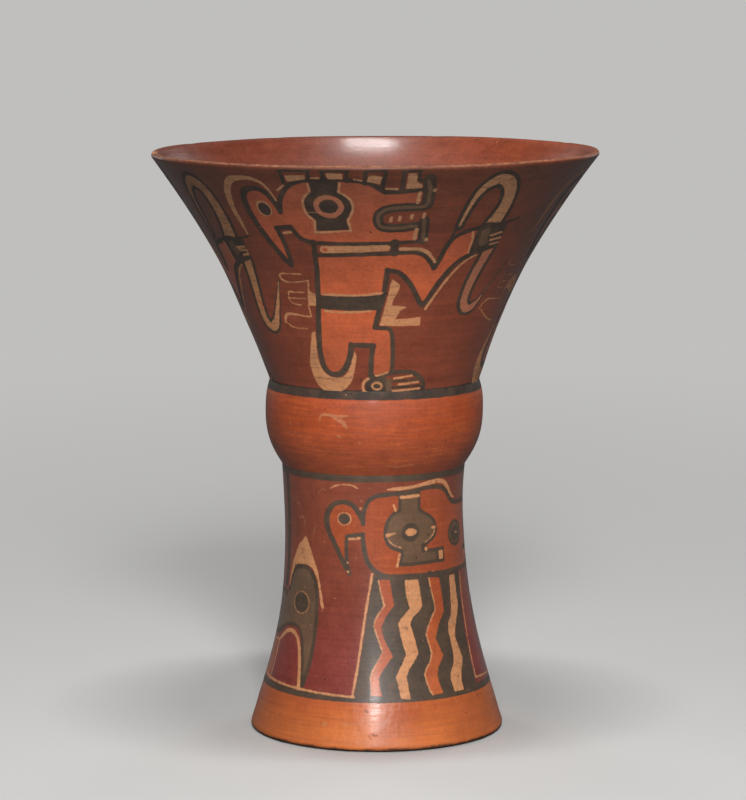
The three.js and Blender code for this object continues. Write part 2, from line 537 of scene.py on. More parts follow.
def head_and_crown():
    """The figure's head in profile under its crown, and the smaller head behind it."""
    keyhole = (
        (-17, 86.6), (-17, 81.4),
        [(-17, 81.4), (-18.6, 79.6), (-19.7, 77), (-19.8, 74), (-19.2, 71.3), (-17.5, 69)], (-18.2, 64.4),
        (-7.6, 65.3), (-8.2, 69.4),
        [(-8.2, 69.4), (-7.1, 71.7), (-6.4, 74.5), (-6.7, 77.3), (-8, 79.6), (-9.7, 81.2)], (-9.4, 86.6),
    )
    nose = [
        (13.3, 86), (14.1, 83), (14.3, 79), (14.2, 76.6), (13, 75), (9, 74.8), (5.4, 74.6), (2.9, 73.7),
        (1.1, 71.8), (0.8, 69.2), (1.5, 67), (3.6, 66), (8, 66.1), (12, 66.9),
    ]
    jaw = [(14.2, 69), (14.5, 65), (14.8, 60.9)]
    return [
        fill(
            "orange_ground",
            [
                (-34, 81.2), (-36.9, 79.3), (-38.2, 75), (-37.9, 69.5), (-36.4, 63.5), (-34.2, 57.5),
                (-31.4, 51.8), (-30.8, 55), (-30.9, 60), (-31.2, 65.5), (-29.2, 70), (-28.7, 73),
                (-29.6, 77), (-31.3, 80.2), (-34, 81.2),
            ],
        ),
        fill(
            "orange_ground", (-31.8, 66.2), (-26.2, 66.3), (-25, 64), (-22, 60.5), (-20, 76), (-27.4, 74),
            (-29.5, 72.4),
        ),
        fill(
            "orange_ground",
            [
                (-27.8, 72.5), (-26.6, 77), (-24.8, 81), (-22, 84), (-18, 85.8), (-13, 86.3), (-8, 86.2),
                (-4, 85.5), (-0.5, 84), (1.8, 81.6),
            ],
            (6, 81), (12, 81.8), (12.2, 76.2),
            [
                (12.2, 76), (6, 76), (2, 75.2), (0, 72.8), (-0.3, 70), (0.3, 67), (2, 65.3), (5, 64.8),
                (9, 65.2), (12.5, 66),
            ],
            (13, 60.3), (-20.5, 59.8), (-24, 61.5), (-26, 66),
        ),
        # Outlines of the two heads
        sweep(
            "black_line", (-28, 72.2, 1.4), (-29.2, 77.3, 2), (-30.9, 80.9, 2.2), (-33.6, 82.2, 2.2),
            (-36.6, 81.3, 2.5), (-38.5, 78, 2.7), (-38.9, 73, 2.8), (-38.3, 67.6, 2.7), (-36.9, 62, 2.6),
            (-35, 57, 2.4), (-33, 52.8, 2.6), (-31, 49.6, 1.6),
        ),
        black_curve(2, (-31, 49.8), (-30.4, 53.5), (-30.5, 58.5), (-30.9, 62.5), (-31.4, 65.2)),
        black_line(
            2, (-31.4, 65.2), (-26.2, 66.1),
            [(-26.2, 66.1), (-25.3, 63.6), (-24, 61.4), (-22.2, 60.3), (-20, 59.6)],
        ),
        black_line(
            1.9,
            [
                (-28, 72.2), (-27.2, 75.6), (-26, 79), (-24.2, 82.1), (-21.8, 84.6), (-18.4, 86.2),
                (-13, 86.8), (-8, 86.7), (-4, 86), (-0.6, 84.5), (1.7, 82.1), (2.6, 81.3),
            ],
            (6, 81.4), (12.6, 82.3),
        ),
        sweep("black_line", (-28.2, 71.8, 1.2), (-27.8, 73.5, 2.4), (-27.6, 75.5, 2.6)),
        fill("black_line", *keyhole),
        black_line(3.6, nose),
        black_curve(4.2, (13.6, 87), (14.1, 83), (14.3, 79), (14.2, 76)),
        black_line(3.6, jaw),
        line("umber_line", 1.3, nose),
        line("umber_line", 1.2, jaw),
        # Eyes
        oval_line("cream_line", 0.8, (-33, 73.5), 2.2, 3),
        oval("black_mark", (-32.9, 73.2), 2, 2.7),
        oval_line("dun_line", 1.9, (-12.9, 75.1), 3.5, 4),
        cream_line(
            0.9, (-17.4, 85), (-17.3, 81.4),
            [(-17.3, 81.4), (-18.9, 79.6), (-20, 77), (-20.1, 74), (-19.5, 71.2), (-17.8, 69)],
            (-18.6, 63.9), (-7.2, 64.9), (-7.9, 69.4),
            [(-7.9, 69.4), (-6.8, 71.7), (-6.1, 74.5), (-6.4, 77.3), (-7.8, 79.8), (-9.6, 81.3)],
            (-8.9, 85.3),
        ),
        # Snout, jaw and teeth
        cream_line(1.3, (11.4, 76.8), (11.7, 81)),
        cream_line(1.4, (12, 61.4), (12.4, 65.4)),
        oval("cream_mark", (15.5, 82), 0.55, 0.8),
        oval("cream_mark", (15.9, 61), 0.6, 0.8),
        *[
            line("cream_mark", 1.1, (x, y), (x - 0.2, y - 1.5))
            for x, y in ((4.6, 70.4), (7, 70.8), (10.4, 71.5), (13.9, 71.9))
        ],
        # Crown
        fill("cream_line", (-23, 85.4), (-23, 88.3), (-17.7, 88.7), (-17.7, 86.9), (-19.6, 86.4)),
        fill("cream_line", (-12, 87), (-12, 89.5), (-8, 89.5), (-8.1, 86.8)),
        fill("cream_line", (-2, 85.8), (-1.6, 88.3), (-0.6, 88.7), (1.8, 88), (1.2, 84.4), (0, 85.3)),
        fill(
            "cream_line", (7.9, 82.7), (8, 89.5), (10.3, 89.5), (10.4, 86), (11.2, 84.8), (11.9, 84.6),
            (11.9, 83),
        ),
        black_line(1.5, (-23.9, 84.4), (-23.9, 90)),
        black_line(1.5, (-16.6, 86.4), (-16.8, 90)),
        black_line(1.5, (-13.1, 86.4), (-13, 90)),
        black_line(1.5, (-7.1, 86), (-7, 90)),
        black_line(1.5, (-2.8, 85), (-2.2, 90)),
        black_line(1.6, (1.8, 83), (2.7, 90)),
        black_line(1.6, (6.9, 81.5), (7, 90)),
        black_line(1.4, (10.8, 90), (10.9, 86.4), (13.6, 86.5)),
        *[
            black_line(1.1, (x, 90.5), (x + wide, 90.6))
            for x, wide in ((-24.4, 8.2), (-13.4, 6.9), (-2.6, 5.4), (6.6, 4.6))
        ],
        cream_line(0.8, (-26.5, 81.6), (-24.1, 84)),
        cream_line(0.7, (-16.2, 87.3), (-14, 87.4)),
        cream_line(0.7, (-5.3, 86.8), (-3.3, 86.4)),
        cream_line(0.9, (2.9, 82.8), (5.7, 82.6)),
        cream_line(1.1, (-29.4, 63.3), (-26.8, 63.8)),
        sweep(
            "cream_line", (-44.4, 60.5, 0.5), (-44.5, 66, 1.5), (-44.9, 72, 2.3), (-44.2, 78, 2.8),
            (-42.5, 82.5, 2.9), (-40.1, 85.5, 2.6), (-36.5, 86.6, 1.9), (-33, 86.3, 1.5),
            (-30.5, 84.6, 1.3), (-29, 81.5, 1), (-28, 77.2, 0.6),
        ),
    ]


def body_and_legs():
    """The body with its collar, belt and dress, the bent legs and the foot."""
    shank = [
        (-11.4, 18.8), (-12.2, 15), (-13.9, 11.5), (-16.6, 8.6), (-20.4, 7.1), (-24, 7.5), (-26.6, 9.6),
        (-27.4, 13.4),
    ]
    return [
        fill("orange_ground", (-20.5, 54.2), (4, 55.2), (4, 48), (3.4, 38), (-22.6, 38)),
        fill(
            "orange_ground", (-24, 32.6), (0.8, 32.6), (-0.6, 27), (0, 24.6), (5.6, 24.6), (7.4, 21),
            (7.9, 14), (7.6, 7.4), (-1.4, 6.6), (-1.2, 12), (-0.8, 18.6), (-11.6, 18.8), shank[1:],
            (-26.8, 19), (-25.6, 25),
        ),
        # Collar
        black_line(1.6, (-20.6, 59.6), (-8, 59.3), (4, 59.6), (14.4, 60.4)),
        black_line(1.7, (-20.6, 54.3), (-8, 54.8), (4.2, 55.3)),
        black_line(2.7, (6.2, 60), (6.2, 55.4)),
        black_curve(2, (-20, 60), (-20.5, 55), (-21.2, 48), (-22.3, 42), (-23.2, 37)),
        sweep("cream_line", (-17, 56.8, 3), (-6, 57.2, 2.7), (3.6, 57.7, 2.4)),
        oval("orange_mark", (-16.6, 56.8), 0.9, 0.9),
        sweep(
            "cream_line", (8.2, 57.2, 1.4), (13, 57.1, 1.3), (16, 56.4, 1.3), (18, 54.7, 1.3),
            (20.6, 51.5, 1),
        ),
        # Belt
        fill(
            "black_line", (-23.4, 37.9), (-8, 37.9), (3.6, 38.6), (1.6, 32.4), (-8, 31.9), (-20, 32.3),
            (-24.6, 32.8),
        ),
        cream_curve(0.9, (-20.9, 38.4), (-12, 38.2), (-4, 38.4), (2.5, 39.2)),
        cream_curve(0.8, (-21.4, 31.8), (-17, 31.4), (-8, 31.6), (-1.6, 32.1)),
        black_line(1.9, (4.2, 48.6), (3.5, 40), (2.3, 35), (1.2, 31), (-0.2, 25.6)),
        # Thigh, shank and shin
        black_curve(2.1, (-23, 38), (-24, 33), (-25.1, 28), (-26.2, 22.5), (-27.2, 17.5), (-27.4, 13.4)),
        black_line(2.1, shank),
        black_line(1.9, (-11.4, 18.6), (-1, 18.5), (-2, 14), (-2.5, 6)),
        black_curve(1.6, (-0.4, 25.4), (3, 25.2), (5.6, 25), (7, 23.4), (7.7, 20), (8.2, 14), (8.1, 8)),
        cream_curve(0.8, (0, 6.9), (3, 7.4), (6, 8.2)),
        # Foot
        fill(
            "black_line",
            [
                (-5.6, 3), (-4.4, 5.4), (-1, 6.5), (3, 6.8), (5.2, 6.4), (5.2, 0.8), (0, 0.5), (-4.4, 0.8),
                (-5.6, 3),
            ],
        ),
        black_curve(
            1.6, (-2.4, 6.2), (4, 7.2), (8.4, 8), (14, 8.3), (19, 7.8), (23, 6), (25.6, 3.6), (26, 1.6),
        ),
        black_line(0.8, (8.6, 4.8), (24, 5.3)),
        black_line(0.9, (8.6, 2.4), (25.6, 2.8)),
        fill(
            "umber_line",
            [(5.2, 3.4), (5.8, 5.6), (8, 5.6), (8.6, 3.4), (8.2, 1.2), (5.8, 1.2), (5.2, 3.4)],
        ),
        cream_curve(1, (-4, 5.7), (-6.2, 4.4), (-7, 2.7), (-6.4, 1.1), (-4.8, 0.4)),
        oval_line("cream_line", 0.8, (0.7, 3), 2.5, 1.3),
        cream_line(0.8, (9.5, 5.7), (18.5, 6.7)),
        cream_line(0.8, (12, 3.4), (22.6, 4.2)),
        cream_line(0.8, (9, 1), (23.5, 1.7)),
        # Cream pieces of the dress
        fill(
            "cream_line", (6, 44.9), [(6, 44.9), (7.6, 43.7), (9, 42.3), (8.6, 40), (7.3, 37), (6.3, 34.3)],
            (10, 33.9), (12.6, 33.4), [(12.6, 33.4), (10.5, 32.2), (9, 30.2), (7.8, 28.6)], (13, 28.8),
            (19, 29.4), (19.3, 26), (8, 26), (1.6, 26.3), (2.8, 30), (4.4, 36),
        ),
        fill("cream_line", (-27, 39.8), (-24, 38.3), (-24.8, 33.6), (-28.2, 33.6), (-27.9, 36)),
        cream_line(
            0.6,
            [
                (-28.3, 46.3), (-33, 46.1), (-36.4, 46.1), (-37.6, 45.2), (-37.3, 43.8), (-35.4, 42.8),
                (-31, 42.8), (-27.6, 43.4), (-25.7, 43.8),
            ],
            (-26.7, 39.8),
        ),
        cream_line(
            0.5, (-28.7, 38.9), (-33, 38.6),
            [(-35.8, 38.9), (-36.5, 37.4), (-36.6, 36), (-36, 34.4), (-33.5, 33.7)], (-31.5, 33.7),
        ),
        cream_line(0.45, (-37, 36.2), (-28, 36.4)),
        cream_line(0.6, (-28.4, 33.6), (-28.1, 29.3), (-32, 29.3)),
        sweep(
            "cream_line", (-31, 29.3, 0.6), (-36, 29.7, 0.9), (-39.4, 29.7, 1.2), (-41.4, 28.5, 1.2),
            (-42.5, 26.3, 0.8),
        ),
        cream_curve(0.4, (-31.5, 24.4), (-36, 24.3), (-39.5, 24.8), (-41.5, 26.2)),
        fill(
            "cream_line",
            [
                (-27.8, 23.4), (-29.5, 22.8), (-31, 19.5), (-33, 15), (-34.6, 10.5), (-34.2, 6.5),
                (-32.4, 3), (-29.4, 0.8), (-25.6, 0.2), (-21, 0.3), (-16.6, 1.8), (-13, 4.5), (-11, 8),
                (-9.9, 11.6), (-9.2, 14.2), (-10, 16.4),
            ],
            [
                (-10, 16.4), (-11.2, 13.5), (-13, 10), (-15.6, 7.2), (-19, 5.9), (-23, 6), (-26.4, 7.3),
                (-28.5, 9.8), (-29.2, 12.5), (-28.9, 16), (-28.3, 20), (-27.8, 23.4),
            ],
        ),
    ]


# Each figure's staff slip, its turn, its slant in degrees for each millimetre up, the drop of its staff, and
# its tail's turn and rise
FIGURES = (
    ("dun_line", 0.0, 0.0, 0.0, 0.0, 0.0),
    ("cream_line", 96.5, 0.145, -0.2, -8.7, 4.5),
    ("dun_line", 180.0, -0.03, 0.3, 0.0, 1.0),
    ("cream_line", -95.0, 0.045, 1.0, 0.0, 0.0),
)

# Where the parts of a figure lie that its repeats vary, in degrees aside and millimetres up
STAFF_SIDE = (8, 30)
STAFF_TOP = 87.5
GRIP, GRIP_REACH = 69, 10
TIP_SIDE = (40, 45)
TIP_TAPER = (34, 48)
TIP_TOP = (48, 52)
TAIL_SIDE = (25, 28)
TAIL_FOOT = (23.5, 26)
TAIL_TOP = (47, 50)
CROWN = 90

# What one unit of drop does to a staff, in millimetres: how far it lowers all of it, how much more for each
# millimetre below its top and at the grip, and how much it thickens the tip
STAFF_FALL, STAFF_STRETCH, GRIP_FALL, TIP_SWELL = 2, 0.1, 2.9, 1.3
# How much of that swelling tapers off, and how much each degree of turn thins a tail's lines, as shares
TIP_TAPERS, TAIL_THINS = 0.7, 0.04
# How far a crown is settled, in millimetres, and how steeply that comes on
CROWN_FALL, CROWN_POWER = 0.5, 8


def eased(values, start, end):
    """0 up to start, 1 from end on, and a soft step between."""
    share = np.clip((values - start) / (end - start), 0, 1)
    return share * share * (3 - 2 * share)


def varied(mark, slant, staff_drop, tail_turn, tail_rise):
    """The mark as a hand repeats it: slanted, its staff lower and longer, and its tail's lines higher."""
    degrees, up = mark.points.T
    by_grip = np.clip(1 - ((up - GRIP) / GRIP_REACH) ** 2, 0, 1)
    fall = STAFF_FALL + STAFF_STRETCH * (STAFF_TOP - up) + GRIP_FALL * by_grip
    lowered = staff_drop * eased(degrees, *STAFF_SIDE) * fall
    tail = eased(-degrees, *TAIL_SIDE) * eased(up, *TAIL_FOOT) * (1 - eased(up, *TAIL_TOP))
    settled = CROWN_FALL * np.clip(up / CROWN, 0, 1) ** CROWN_POWER
    turned_to = degrees + slant * up + tail_turn * tail
    raised_to = up - lowered + tail_rise * tail - settled
    widths = mark.widths
    if widths is not None:
        tapered = 1 - TIP_TAPERS * eased(up, *TIP_TAPER)
        tip = eased(degrees, *TIP_SIDE) * tapered * (1 - eased(up, *TIP_TOP))
        thicker = widths + TIP_SWELL * max(staff_drop, 0) * tip
        widths = thicker * (1 - TAIL_THINS * abs(tail_turn) * tail)
    return Mark(mark.coat, np.column_stack([turned_to, raised_to]), widths)


def bowl_marks():
    """The staff-bearing figures round the bowl, as marks with the turn that each stands at."""
    figure = head_and_crown() + body_and_legs() + arm_and_hand()
    marks = [
        (varied(mark, *habits), turn) for slip, turn, *habits in FIGURES for mark in figure + staff(slip)
    ]
    chip = curve("orange_mark", 0.9, (39.4, 34.2), (40.6, 33), (41.4, 31.4))
    return marks + [(chip, FIGURES[-1][1])]


def hooded_eye():
    """The hooded eye beside the apron, with the muzzle and the framed block at its side."""
    brow = [
        (-70.4, 53), (-67.6, 57.6), (-63.5, 61), (-58, 62.4), (-51, 62.4), (-45.4, 60.6), (-42, 57),
        (-40.4, 52.5),
    ]
    arch = [
        (-74, 38.4), (-68, 40.6), (-60, 41.4), (-54, 40.6), (-50, 37.6), (-47.4, 33), (-45.4, 28),
        (-44, 23), (-43.2, 19.5),
    ]
    muzzle = [
        (-74, 51.2), (-80, 51.8), (-87, 51.8), (-92.6, 50.2), (-96, 46.6), (-96, 42), (-92.4, 38.4),
        (-86, 36.6), (-80, 36.8), (-74, 38.4),
    ]
    return [
        fill(
            "umber_ground", brow, (-40, 45), (-39.9, 34), (-41.4, 26), (-43.2, 19.5), arch[::-1],
            muzzle[::-1],
        ),
        black_line(1.7, brow),
        black_curve(
            1.7, (-40.4, 52.5), (-39.9, 45), (-39.7, 37), (-40.2, 30), (-41.6, 24.4), (-43.2, 19.5),
        ),
        black_line(1.3, arch),
        black_line(1.7, muzzle),
        black_curve(1.2, (-95.4, 44.6), (-90, 44.8), (-85, 44)),
        oval("cream_line", (-88.6, 48), 1.6, 0.8),
        oval("black_line", (-54.3, 49.7), 6.9, 3.4),
        oval_line("cream_line", 0.35, (-54.3, 49.7), 7.6, 3.9),
        fill(
            "cream_line",
            [
                (-71, 54.6), (-68.6, 60.6), (-65, 65), (-60, 69.4), (-55.4, 71.8), (-52, 73.3),
                (-49.4, 71.4), (-45, 66.6), (-41, 62), (-38.4, 57.4), (-36.4, 53), (-34.8, 49.6),
                (-35.7, 48.5),
            ],
            [
                (-35.7, 48.5), (-37.6, 50.4), (-39, 55), (-41, 58.8), (-44.6, 62), (-49.6, 63.4),
                (-56, 63.3), (-62, 62.6), (-66, 60), (-68.8, 56.6), (-70, 54),
            ],
        ),
        cream_curve(
            1.5, (-73, 35), (-69.4, 37), (-65, 38.6), (-60, 39), (-55.4, 38), (-51.8, 35.5), (-49.2, 31.4),
            (-47.2, 27), (-45.8, 23), (-45, 20),
        ),
        cream_line(0.9, (-74, 19.8), (-74.6, 34)),
        cream_line(0.8, (-87, 20.6), (-75, 20.3), (-60, 20), (-43.4, 19.7), (-11.6, 19)),
        fill("orange_ground", (-85, 33.4), (-77, 33.6), (-76.4, 20.4), (-86, 20.4)),
        cream_line(0.8, (-86.4, 20.6), (-85.6, 33.8), (-75.6, 34.2)),
    ]


def bird_head():
    """The small head at the top of the stem, to the left of the large one."""
    return [
        fill(
            "orange_ground",
            [
                (-32.4, 81.4), (-29.4, 84.8), (-25, 86.2), (-20, 86.4), (-15.4, 85.4), (-12, 83),
                (-9.6, 80.4),
            ],
            (-7, 79.6), (-7, 76.4), (-20.2, 75.6),
            [(-20.2, 75.6), (-20.6, 71), (-20.4, 67.6), (-21.4, 65.6)],
            [(-21.4, 65.6), (-25.4, 70.4), (-29, 73.8), (-31.8, 77)],
        ),
        sweep(
            "black_line", (-9, 80.2, 1.2), (-10.4, 82.4, 1.9), (-12.8, 84.6, 2), (-16.4, 86.4, 1.9),
            (-22, 87.1, 1.7), (-28, 86.2, 1.9), (-31.8, 84, 2.2), (-33.6, 81.4, 2.5), (-33.6, 79, 2.4),
            (-32, 76.2, 2), (-29, 73.2, 1.9), (-26, 70.2, 1.8), (-23.4, 67.4, 1.8), (-20.6, 64.8, 1.8),
            (-17.6, 61.8, 1.5),
        ),
        black_line(
            1.5, [(-17.8, 62), (-19.2, 65.6), (-19.6, 69), (-19.7, 72.6), (-19.4, 75)], (-15, 75.5),
            (-8.8, 75.9),
        ),
        oval_line("cream_line", 0.5, (-21.2, 81.2), 4.4, 2.25),
        oval("black_mark", (-21.2, 81.2), 3.9, 1.9),
        cream_line(0.8, (-18, 74.1), (-14, 74.3), (-10.7, 74.7)),
        oval("cream_mark", (-18.6, 62.6), 0.9, 0.45),
        oval("cream_mark", (-18.8, 65.8), 0.8, 0.4),
        oval("cream_mark", (-10.2, 85), 0.9, 0.5),
        oval("cream_mark", (-9.6, 87.6), 0.6, 0.35),
        cream_curve(0.5, (-30.4, 91.8), (-26, 92.9), (-20.4, 93.3), (-15.4, 93.1), (-12, 92.2)),
    ]


def animal_head():
    """The large head at the top of the stem, with its keyhole eye, crest and teeth."""
    eye = (
        (15.2, 90), (15.2, 84.2),
        [(15.2, 84.2), (11, 83), (7.6, 80.6), (6, 77.6), (6, 74.4), (8, 72), (11.6, 70.7), (16.4, 69.8)],
        (16.6, 68), (14.8, 65), (42.4, 65.2), (42.4, 69.2), (31, 69.4),
        [
            (31, 71.2), (36, 72.4), (40, 74), (41.8, 76.4), (40.8, 79), (37.6, 81), (32.6, 82.6),
            (28.4, 84.2),
        ],
        (28.4, 90),
    )
    crest = [
        (7, 91.7, 0.5), (12, 91.9, 1.2), (20, 92.1, 1), (28, 92.6, 1.2), (36, 93.3, 1.5), (44, 93.5, 1.6),
        (49, 92.6, 1.6), (53, 90.5, 1.4), (56, 88.4, 1.1), (59, 86.9, 0.8), (61.6, 86.5, 0.4),
    ]
    return [
        fill(
            "orange_ground",
            [
                (-8, 79), (-7.2, 84), (-5, 87), (-1, 88.8), (5, 89.5), (13, 89.8), (24, 90.6), (34, 91.4),
                (44, 91), (50, 89.6), (54, 87.2), (58, 85.2), (66, 84.3), (78, 84), (85, 82.8),
                (88.6, 79.6), (89.2, 75),
            ],
            (89.2, 70), [(88.6, 66), (86, 62.6), (80, 61.4)], (50, 61), (20, 61.2),
            [(8, 61.2), (3, 62), (-1, 63.6), (-4.6, 66.6), (-7, 70.6), (-8, 75), (-8, 79)],
        ),
        fill("umber_ground", *eye),
        black_curve(
            1.6, (-8.6, 79.6), (-8, 83.6), (-5.8, 87), (-1.6, 89), (5, 89.9), (13, 90.2), (22, 90.6),
            (30, 91.4), (38, 91.7), (45, 91.1), (50, 89.8), (54, 87.5), (58, 85.4), (64, 84.5), (78, 84.2),
            (85.4, 83), (89.2, 79.8), (89.9, 75), (89.8, 69.6), (88.8, 65.6), (86, 62.2), (80, 60.8),
        ),
        black_line(1.4, (89.6, 67.4), (76, 67.2)),
        cream_line(1.1, (87.6, 69.4), (88, 77.6)),
        *[
            fill("cream_line", (x, 66.4), (x + 2.6, 66.4), (x + 2.4, 64.2), (x + 0.2, 64.2))
            for x in (77.4, 81.2, 85)
        ],
        black_line(
            1.7,
            [(-8.8, 76), (-8.4, 73), (-7.4, 69.4), (-5.8, 66.5), (-3, 64.2), (0, 62.8), (4, 61.6), (9, 61)],
            (30, 60.8), (50, 60.8), (80, 60.8),
        ),
        black_line(1.2, *eye, eye[0]),
        fill("black_line", (41.2, 70), (48.6, 70), (48.8, 64.5), (41.2, 64.5)),
        fill("black_line", (30, 71.4), (34.6, 71.2), (34.4, 68.8), (30, 68.8)),
        oval("black_line", (22.5, 76.2), 6.3, 3.3),
        oval("black_line", (62.4, 73.7), 9, 4.7),
        oval_line("umber_line", 0.8, (62.4, 73.7), 6.4, 3.2),
        oval("cream_mark", (22.7, 76.3), 4, 1.35),
        sweep("cream_line", *crest),
        cream_line(1.1, (15.8, 88.8), (22, 88.9), (28, 89.1)),
        cream_line(0.7, (11.2, 86.2), (12.6, 83.9)),
        cream_curve(0.9, (14.9, 68.8), (14.1, 66.6), (13, 64.4)),
        sweep("cream_line", (7, 75.5, 1.3), (9, 75.8, 0.9), (12.4, 76.2, 0.4)),
        cream_curve(0.45, (7.6, 74), (10.6, 72.2), (16, 71)),
        cream_curve(0.45, (40.9, 77.8), (40.4, 75.6), (37, 73.6), (32.6, 72.2)),
        cream_line(0.9, (38.6, 77.2), (41, 77.2)),
        fill("cream_mark", (43.6, 65.8), (43.6, 68.6), (47.4, 68.7), (47.2, 65.7)),
        oval("cream_mark", (33.4, 69.9), 1.1, 0.75),
        oval("cream_mark", (64, 73.8), 1.6, 0.4),
    ]


def apron():
    """The tapering black apron, with zigzag stripes that alternate orange and cream."""
    stripes = (
        (
            "orange_mark",
            (
                (1.2, 60), (2.6, 56), (4.7, 51), (2, 48.8), (-0.8, 46), (-1.7, 43.8), (0.6, 40), (3.3, 35),
                (1, 32), (-2, 28.5), (-3.3, 26), (-3, 23), (-2.8, 19.6),
            ),
            (
                (2.6, 19.4), (1.7, 22.5), (1, 25.5), (2.2, 27.2), (5, 30), (9, 33.2), (6.4, 36.5),
                (3.8, 40), (2.7, 43.5), (5, 46.5), (8, 49), (10.5, 51), (9.8, 54), (8.2, 60),
            ),
        ),
        (
            "cream_line",
            (
                (17.7, 59.6), (18.3, 55), (19.4, 51.6), (20.4, 49.6), (15.5, 46.8), (12.8, 44.5), (14, 40),
                (15.4, 36), (16.4, 33.6), (13, 29.5), (10.1, 26), (11, 23), (12.2, 18.4),
            ),
            (
                (17, 18), (16.5, 22), (15.8, 26), (18, 29), (21.5, 31.8), (23.8, 33.5), (22.8, 37),
                (21.5, 41), (20, 44), (22, 46.5), (26, 48.3), (28.8, 50), (28, 54), (27, 59.6),
            ),
        ),
        (
            "orange_mark",
            (
                (34.6, 59.6), (35.8, 55.6), (37.5, 50.8), (37.8, 48.2), (34.5, 45.6), (31.5, 42.6),
                (29.8, 40.1), (31, 36.3), (32, 33.5), (30.5, 30.6), (27.5, 28.2), (26, 26.3), (27, 23),
                (28, 20.5), (29.4, 18.8),
            ),
            (
                (35.6, 19), (34.3, 22), (33.5, 25), (35, 28.2), (38, 30.6), (39.5, 32.1), (37.5, 35.4),
                (35.8, 38.3), (38, 41.7), (41, 44.5), (44.5, 47.1), (44.3, 52.2), (43, 59.4),
            ),
        ),
        (
            "cream_line",
            (
                (52.4, 59.2), (52, 54.4), (51.5, 48.8), (50, 45.3), (46.8, 42.8), (46, 39.9), (46.8, 36.1),
                (47.2, 32.4), (46, 28.6), (42.5, 25.7), (42, 23.4), (43, 18.8),
            ),
            (
                (49.8, 18.8), (49.5, 22), (50.5, 24.8), (52.5, 27.2), (54.3, 30), (53, 33.2), (51.2, 37),
                (51.8, 39.9), (54.5, 43.3), (57, 45.8), (58.8, 48.3), (58.5, 54.2), (58.3, 59.4),
            ),
        ),
    )
    marks = [
        fill(
            "black_line", (-1.6, 62), (-5, 52), (-8, 38), (-10.4, 27), (-12, 18), (61.6, 18), (62, 40),
            (64.6, 61),
        ),
        cream_curve(0.9, (-2.6, 62), (-6, 51), (-8.6, 40), (-11, 27), (-12.5, 19.6)),
        cream_line(0.7, [(65.6, 59.4), (64.6, 46), (63.2, 30), (62.6, 21.6)], (78, 21), (93.4, 20.6)),
    ]
    for coat, left, right in stripes:
        marks.append(fill(coat, *left, *right))
        if coat == "orange_mark":
            marks.append(line("cream_mark", 0.55, *left))
    return marks


# The turns at which the stem's panel is painted, and the black stripe between its heads and the next panel's
PANEL_TURNS = (0.0, 180.0)
EDGE_STRIPE = ((-73, 95), (-73, 80), (-74, 66), (-76, 55))


def stem_marks():
    """The heads and aprons round the stem, as marks with the turn that each stands at."""
    panel = hooded_eye() + bird_head() + animal_head() + apron()
    panel.append(black_curve(2.8, *EDGE_STRIPE))
    return [(mark, turn) for turn in PANEL_TURNS for mark in panel]


def belt_scars():
    """Scuffs on the front of the belt, at degrees round and millimetres above the base."""
    spots = (
        (-20.5, 109.4, 1), (-18.5, 109, 0.7), (-9, 107.4, 0.8), (8.3, 107.8, 0.7), (38.5, 101.8, 0.9),
        (25, 121, 0.5), (-52, 112.4, 0.8), (-48, 109.6, 0.9), (-44.5, 108.6, 0.8), (-41, 107.4, 0.7),
        (-50, 107, 0.6), (16, 98.5, 0.6),
    )
    scars = [
        sweep(
            "scuff", (-31.2, 113.6, 0.4), (-30.8, 116.2, 0.7), (-27, 116.7, 0.9), (-22, 116.3, 1.1),
            (-15, 116.6, 0.3),
        ),
        sweep("scuff", (-23, 115.6, 0.7), (-18.5, 114.6, 1.5), (-16.6, 113, 1.2), (-15.4, 112.2, 0.4)),
        sweep("scuff", (5, 99, 0.3), (12, 98.4, 0.5), (22, 98.8, 0.3)),
        *[oval("scuff", (x, z), size * 0.9, size * 0.5) for x, z, size in spots],
    ]
    return [(mark, 0.0) for mark in scars]


def foot_scars():
    """Pits and scuffs on the front of the stem and the foot."""
    pits = (
        (-5.6, 14.6, 0.6), (-4.6, 14, 0.45), (-6.4, 13.6, 0.35), (-3.6, 6.2, 0.5), (-2, 6.9, 0.4),
        (-1.2, 6.4, 0.55), (-2.6, 5.4, 0.3), (36.2, 61.4, 1), (37.8, 61, 0.8), (34.6, 61.8, 0.6),
        (57.5, 16.2, 0.4), (58.6, 17, 0.5), (59.6, 17.9, 0.45), (60.6, 18.8, 0.4),
    )
    scars = [oval("black_mark", (x, s), size * 1.2, size * 0.6) for x, s, size in pits]
    scars += [
        curve("scuff", 0.35, (-58, 79.6), (-55, 80.4), (-53, 79.2), (-52.4, 77.2)),
        sweep("scuff", (-62, 84.4, 0.3), (-59.6, 84.6, 0.8), (-57, 84.4, 0.3)),
        curve("scuff", 0.3, (-45, 74.6), (-43, 77), (-42.4, 79.4)),
        curve("scuff", 0.3, (-40, 89.6), (-36, 91.2), (-32, 90)),
        oval("scuff", (-25.5, 9.2), 1.2, 0.7),
        curve("scuff", 0.4, (-18, 10), (-12, 9.6), (-9, 10.2)),
    ]
    return [(mark, 0.0) for mark in scars]


